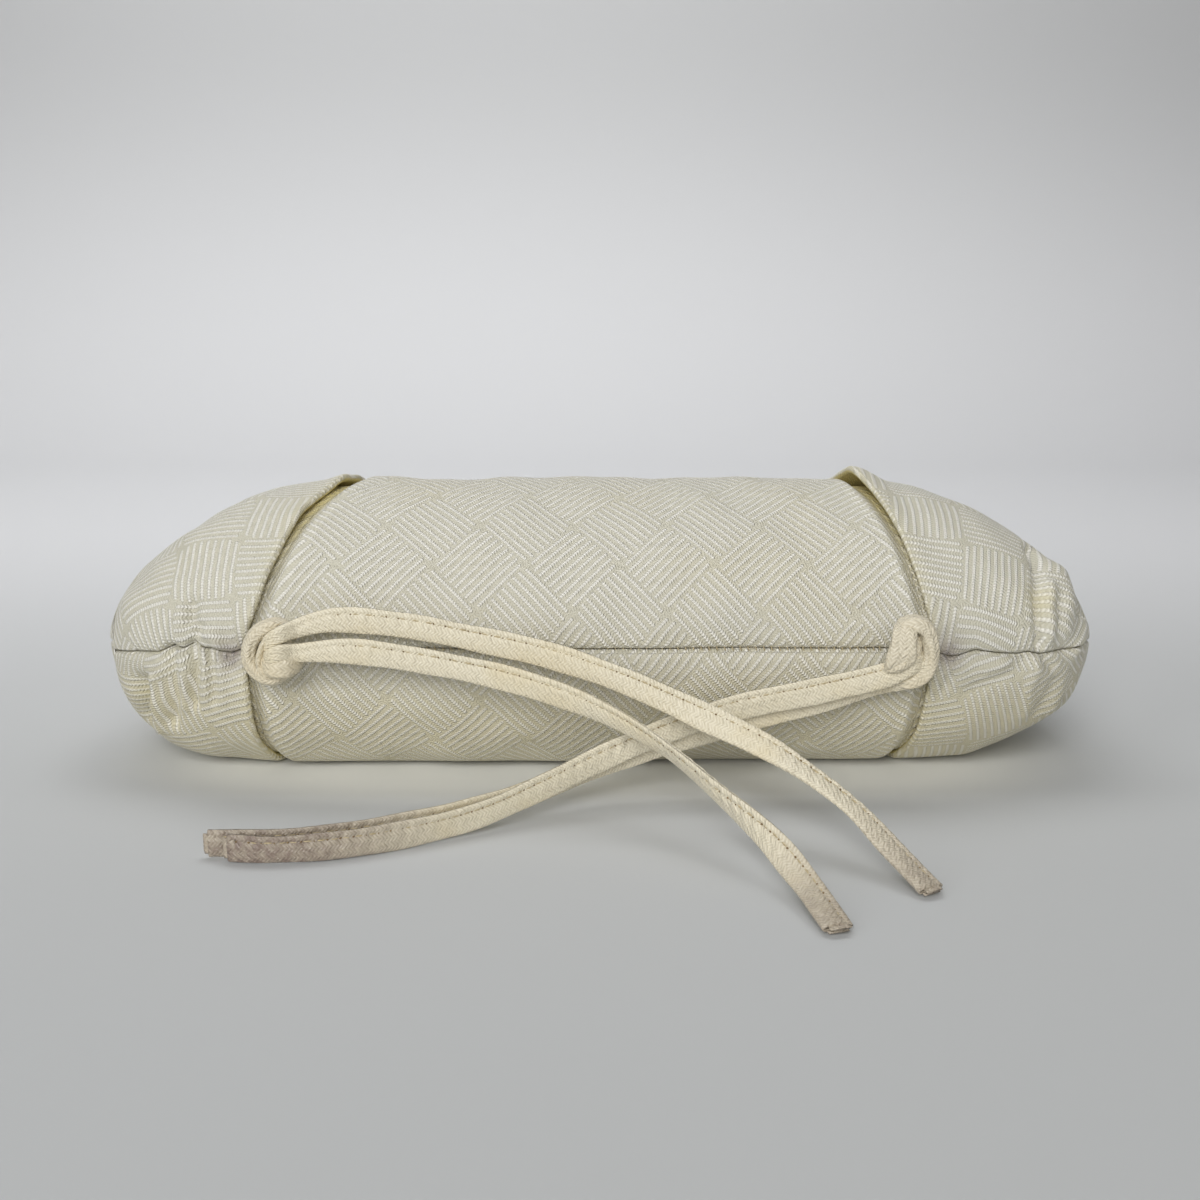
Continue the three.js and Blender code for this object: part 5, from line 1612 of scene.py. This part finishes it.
def make_loop(node, body, bar_y, tail_y, cloth):
    """Webbing folded round a ring's bar: a strip carried from its tail over the bar and back,
    the two layers flat on each other, rounded at its rim, with a row of stitches across."""
    way = math.copysign(1, tail_y - bar_y)
    meet = math.asin(WEB_WALL / 2 / LOOP_MIDDLE)
    angle = np.linspace(meet, 2 * math.pi - meet, 60)
    loop_y = bar_y + way * LOOP_MIDDLE * np.cos(angle)
    loop_z = RIM_HEIGHT + LOOP_MIDDLE * np.sin(angle)
    run = np.linspace(tail_y, loop_y[0], 26)[:-1]
    y = np.concatenate([run, loop_y, run[::-1]])
    z = np.concatenate([RIM_HEIGHT + WEB_LAYER + 0 * run, loop_z, RIM_HEIGHT - WEB_LAYER + 0 * run])
    low, high = lowest(node)[0], highest(node)[0]
    rim = rounding(WEB_WALL / 2)
    middle = np.linspace(low + 0.9 * MM, high - 0.9 * MM, 18)
    across = np.concatenate([low + rim, middle, high - rim[::-1]])
    line = np.stack([0 * y, y, z], -1)
    along = distances(line)
    points = line[:, None] + across[None, :, None] * np.array([1.0, 0, 0])
    normal = np.cross(tangents(line), np.array([1.0, 0, 0]))
    half = WEB_WALL / 2 * rim_profile(points, WEB_WALL / 2) * 0.98
    uv = turned(np.stack(np.broadcast_arrays(across[None], along[:, None]), -1), 45)
    outer = points + normal[:, None] * half[..., None]
    inner = points - normal[:, None] * half[..., None]
    piece = closed_sheet(node + "_cloth", outer, inner, satin_jacquard(cloth), uv, clean(points))
    settle(piece, body, "satin_jacquard", node)
    edge = bar_y + way * LOOP_SEAM
    at = np.arange(low + 1.5 * MM, high - 1.2 * MM, 2.0 * MM)
    rows = [np.stack([at, edge + 0 * at, RIM_HEIGHT + side * 1.1 * MM + 0 * at], -1) for side in (-1, 1)]
    ups = [np.tile([0, 0, float(side)], (len(at), 1)) for side in (-1, 1)]
    runs = np.tile([1.0, 0, 0], (2 * len(at), 1))
    stitched = stitches(node + "_stitches", np.concatenate(rows), runs, np.concatenate(ups),
                        length=1.4 * MM, radius=0.2 * MM, material=thread(cloth))
    settle(stitched, body, "satin_jacquard")


def make_ring(node, cloth):
    """Brass ring: a round rod carried round a rectangle with round corners."""
    low, high = lowest(node) + RING_ROD, highest(node) - RING_ROD
    angle = np.linspace(0, QUARTER_TURN, 9)
    points = []
    corners_in_turn = ((high[0], high[1]), (low[0], high[1]), (low[0], low[1]), (high[0], low[1]))
    for k, (x, y) in enumerate(corners_in_turn):
        centre = np.array([x - math.copysign(RING_CORNER, x - (low[0] + high[0]) / 2),
                           y - math.copysign(RING_CORNER, y - (low[1] + high[1]) / 2)])
        turn = angle + k * QUARTER_TURN
        points.append(centre + RING_CORNER * np.stack([np.cos(turn), np.sin(turn)], -1))
    line = np.concatenate(points)
    line = np.column_stack([line, np.full(len(line), RIM_HEIGHT)])
    before, after = np.roll(line, 1, axis=0), np.roll(line, -1, axis=0)
    up = np.array([0, 0, 1.0])
    side = np.cross(unit(after - before), up)
    turn = 2 * math.pi * np.arange(RING_SIDES) / RING_SIDES
    spokes = np.cos(turn)[:, None] * side[:, None] + np.sin(turn)[:, None] * up
    rings = line[:, None] + RING_ROD * spokes
    index = np.arange(rings.shape[0] * RING_SIDES).reshape(-1, RING_SIDES)
    index = np.concatenate([index, index[:1]])
    faces = grid_quads(np.concatenate([index, index[:, :1]], axis=1))
    ring = make_piece(node + "_metal", rings.reshape(-1, 3), faces, brass(cloth))
    settle(ring, "strap", "ring_metal", node)


def make_side_holder(side, cloth):
    """One side's tab, strap end and ring: each loop goes round its own bar of the ring."""
    tab, ring, strap_end = side + "_side_tab", side + "_ring", side + "_strap_end"
    make_loop(tab, "bag", lowest(ring)[1] + RING_ROD, lowest(tab)[1], cloth)
    make_loop(strap_end, "strap", highest(ring)[1] - RING_ROD, highest(strap_end)[1], cloth)
    make_ring(ring, cloth)


def make_strap(cloth):
    """Shoulder strap: a padded tube of oval section, down from one ring's end to the table,
    round a half circle and back to the other, with its sewn edge on the inner side."""
    start = highest("left_strap_end")[1] / MM + CLEARANCE / MM - BASE_Y / MM
    reach = (lowest("right_ring")[0] + highest("right_ring")[0]) / 2 / MM
    leg = [(-reach, start + run, z) for run, z in STRAP_DROP]
    turn = math.pi * (1 - np.arange(9) / 8)
    bend_y = start + STRAP_BEND_FROM
    bend = [(reach * math.cos(a), bend_y + reach * math.sin(a), STRAP_REST / MM) for a in turn]
    back = [(-x, y, z) for x, y, z in leg[::-1]]
    line = smooth_path(from_seam(leg + bend + back), 1.2 * MM)
    t = tangents(line)
    upright = unit(np.array([0, 0, 1.0]) - t * t[:, 2:])
    across = np.cross(upright, t)
    along = distances(line)
    base = oval(40, 2.3)
    ease = np.sqrt(1 - (1 - np.clip(np.minimum(along, along[-1] - along) / (3 * MM), 0, 1)) ** 2 * 0.6)
    angle = np.arctan2(base[:, 1], base[:, 0])
    inner = np.abs(np.angle(np.exp(1j * (angle - math.pi))))
    groove = 1 - 0.12 * np.exp(-(inner / 0.16) ** 2)[None] + 0 * along[:, None]
    groove = groove + 0.012 * np.sin(along[:, None] * 2 * math.pi / (5 * MM) + 2 * angle[None])
    outline = base[None] * (STRAP_WIDTH / 2, STRAP_THICKNESS / 2) * (groove * ease[:, None])[..., None]
    rings = band_rings(line, across, outline)
    uv = turned(band_uv(line, outline), 45)
    none = np.zeros(rings.shape[:2])
    strap = tube_piece("shoulder_strap_cloth", rings, satin_jacquard(cloth), uv,
                       {"soil": none, "warm": none})
    settle(strap, "strap", "satin_jacquard", "shoulder_strap")


# Operators: one for the stage and one for each piece or group of like pieces

class BAG_OT_stage(bpy.types.Operator):
    """Sets the camera, the lamps and the pale floor"""

    bl_idname = "bag.stage"
    bl_label = "Stage"

    def execute(self, context):
        """Sets them as the stage's settings say."""
        tones = context.scene.bag_stage
        make_camera()
        make_backdrop(tones)
        make_world(tones.world)
        for name, power, place, aim, size, tone in LAMPS:
            make_lamp(name, place, aim, size, getattr(tones, power), tone)
        context.scene.view_settings.view_transform = "Standard"
        return {"FINISHED"}


class BAG_OT_ties(bpy.types.Operator):
    """Makes the four flat ties, with their stitching and cut ends"""

    bl_idname = "bag.ties"
    bl_label = "Ties"

    def execute(self, context):
        """Makes them of the fabric's tie satin."""
        make_ties(context.scene.bag_fabric, context.scene.bag_shape)
        return {"FINISHED"}


class BAG_OT_knots(bpy.types.Operator):
    """Makes the two overhand knots at the ends of the base seam"""

    bl_idname = "bag.knots"
    bl_label = "Knots"

    def execute(self, context):
        """Makes each from its own bands."""
        make_knot("left_knot", LEFT_KNOT_BANDS, context.scene.bag_fabric)
        make_knot("right_knot", RIGHT_KNOT_BANDS, context.scene.bag_fabric)
        return {"FINISHED"}


class BAG_OT_panels(bpy.types.Operator):
    """Makes the front and back panels"""

    bl_idname = "bag.panels"
    bl_label = "Panels"

    def execute(self, context):
        """Makes one for each face."""
        for face in ("front", "back"):
            make_panel(face, context.scene.bag_fabric, context.scene.bag_shape)
        return {"FINISHED"}


class BAG_OT_folds(bpy.types.Operator):
    """Makes the folded base corners"""

    bl_idname = "bag.folds"
    bl_label = "Folded corners"

    def execute(self, context):
        """Makes both faces of each corner."""
        for fold in (LEFT_FOLD, RIGHT_FOLD):
            for face in ("front", "back"):
                make_fold(fold, face, context.scene.bag_fabric, context.scene.bag_shape)
        return {"FINISHED"}


class BAG_OT_seam(bpy.types.Operator):
    """Makes the stitches of the base seam"""

    bl_idname = "bag.seam"
    bl_label = "Base seam"

    def execute(self, context):
        """Makes the whole row."""
        make_seam_stitches(context.scene.bag_fabric, context.scene.bag_shape)
        return {"FINISHED"}


class BAG_OT_linings(bpy.types.Operator):
    """Makes the linings, the mouth facings and the pocket"""

    bl_idname = "bag.linings"
    bl_label = "Linings"

    def execute(self, context):
        """Makes the layers, then the pocket."""
        make_linings(context.scene.bag_fabric, context.scene.bag_shape)
        make_pocket(context.scene.bag_fabric)
        return {"FINISHED"}


class BAG_OT_flap(bpy.types.Operator):
    """Makes the closing flap and its snap"""

    bl_idname = "bag.flap"
    bl_label = "Flap and snap"

    def execute(self, context):
        """Makes the flap, then the snap's halves."""
        make_flap(context.scene.bag_fabric)
        make_snap(context.scene.bag_fabric)
        return {"FINISHED"}


class BAG_OT_strap(bpy.types.Operator):
    """Makes the side tabs, the rings, the strap ends and the shoulder strap"""

    bl_idname = "bag.strap"
    bl_label = "Strap"

    def execute(self, context):
        """Makes each side's holder, then the strap."""
        for side in ("left", "right"):
            make_side_holder(side, context.scene.bag_fabric)
        make_strap(context.scene.bag_fabric)
        return {"FINISHED"}


class BagStageSettings(bpy.types.PropertyGroup):
    """Lamps and colours of the stage."""

    key: power_property("Key lamp", "Power of the soft lamp in front of the bag and above it", 15.1)
    left: power_property("Left lamp", "Power of the soft lamp at the front left", 4.6)
    low: power_property("Low lamp", "Power of the soft lamp low before the bag", 5.2)
    overhead: power_property("Overhead lamp", "Power of the lamp above the bag, at the right", 0.9)
    behind: power_property("Backdrop lamp", "Power of the lamp that faces the backdrop", 5)
    world: bpy.props.FloatProperty(name="Surround", description="Strength of the light from all round",
                                   default=0.06, min=0)
    floor: tone_property("Floor", "Paper under the bag", 201, 203, 203)
    # Painted light and shade: the paper's tones at the left, behind the bag and up the backdrop
    floor_left: tone_property("Floor, left", "Paper at the left", 197, 199, 200)
    # Painted light: the lighter paper round the bag's foot, over its shadow
    floor_painted_light: tone_property("Floor near", "Paper round the bag's foot", 230, 231, 228)
    floor_behind: tone_property("Floor behind", "Paper behind the bag, where it turns up", 224, 225, 227)
    backdrop: tone_property("Backdrop", "Upright paper behind the bag", 196, 197, 198)


STEPS = (
    BAG_OT_stage, BAG_OT_ties, BAG_OT_knots, BAG_OT_panels, BAG_OT_folds, BAG_OT_seam, BAG_OT_linings,
    BAG_OT_flap, BAG_OT_strap,
)


class BAG_PT_panel(bpy.types.Panel):
    """Lists the bag's steps and settings."""

    bl_label = "Bag"
    bl_space_type = "VIEW_3D"
    bl_region_type = "UI"
    bl_category = "Bag"

    def draw(self, context):
        """A button for each step, then the settings in their groups."""
        for step in STEPS:
            self.layout.operator(step.bl_idname)
        for settings in (context.scene.bag_shape, context.scene.bag_fabric, context.scene.bag_stage):
            box = self.layout.box()
            for name in settings.__annotations__:
                box.prop(settings, name)


SETTINGS = {"bag_fabric": BagFabricSettings, "bag_shape": BagShapeSettings, "bag_stage": BagStageSettings}


def register():
    """Registers the settings, the operators and the panel."""
    for kind in (*SETTINGS.values(), *STEPS, BAG_PT_panel):
        bpy.utils.register_class(kind)
    for name, kind in SETTINGS.items():
        setattr(bpy.types.Scene, name, bpy.props.PointerProperty(type=kind))


def unregister():
    """Takes them away again."""
    for name in SETTINGS:
        delattr(bpy.types.Scene, name)
    for kind in (BAG_PT_panel, *reversed(STEPS), *SETTINGS.values()):
        bpy.utils.unregister_class(kind)


def corners(box):
    """A box's two corners as plain lists of numbers."""
    return [[float(v) for v in corner] for corner in box]


def main():
    """Makes the whole bag."""
    register()
    bpy.ops.bag.stage()
    bpy.ops.bag.ties()
    bpy.ops.bag.knots()
    bpy.ops.bag.panels()
    bpy.ops.bag.folds()
    bpy.ops.bag.seam()
    bpy.ops.bag.linings()
    bpy.ops.bag.flap()
    bpy.ops.bag.strap()
    bpy.context.view_layer.update()


if __name__ == "__main__":
    main()
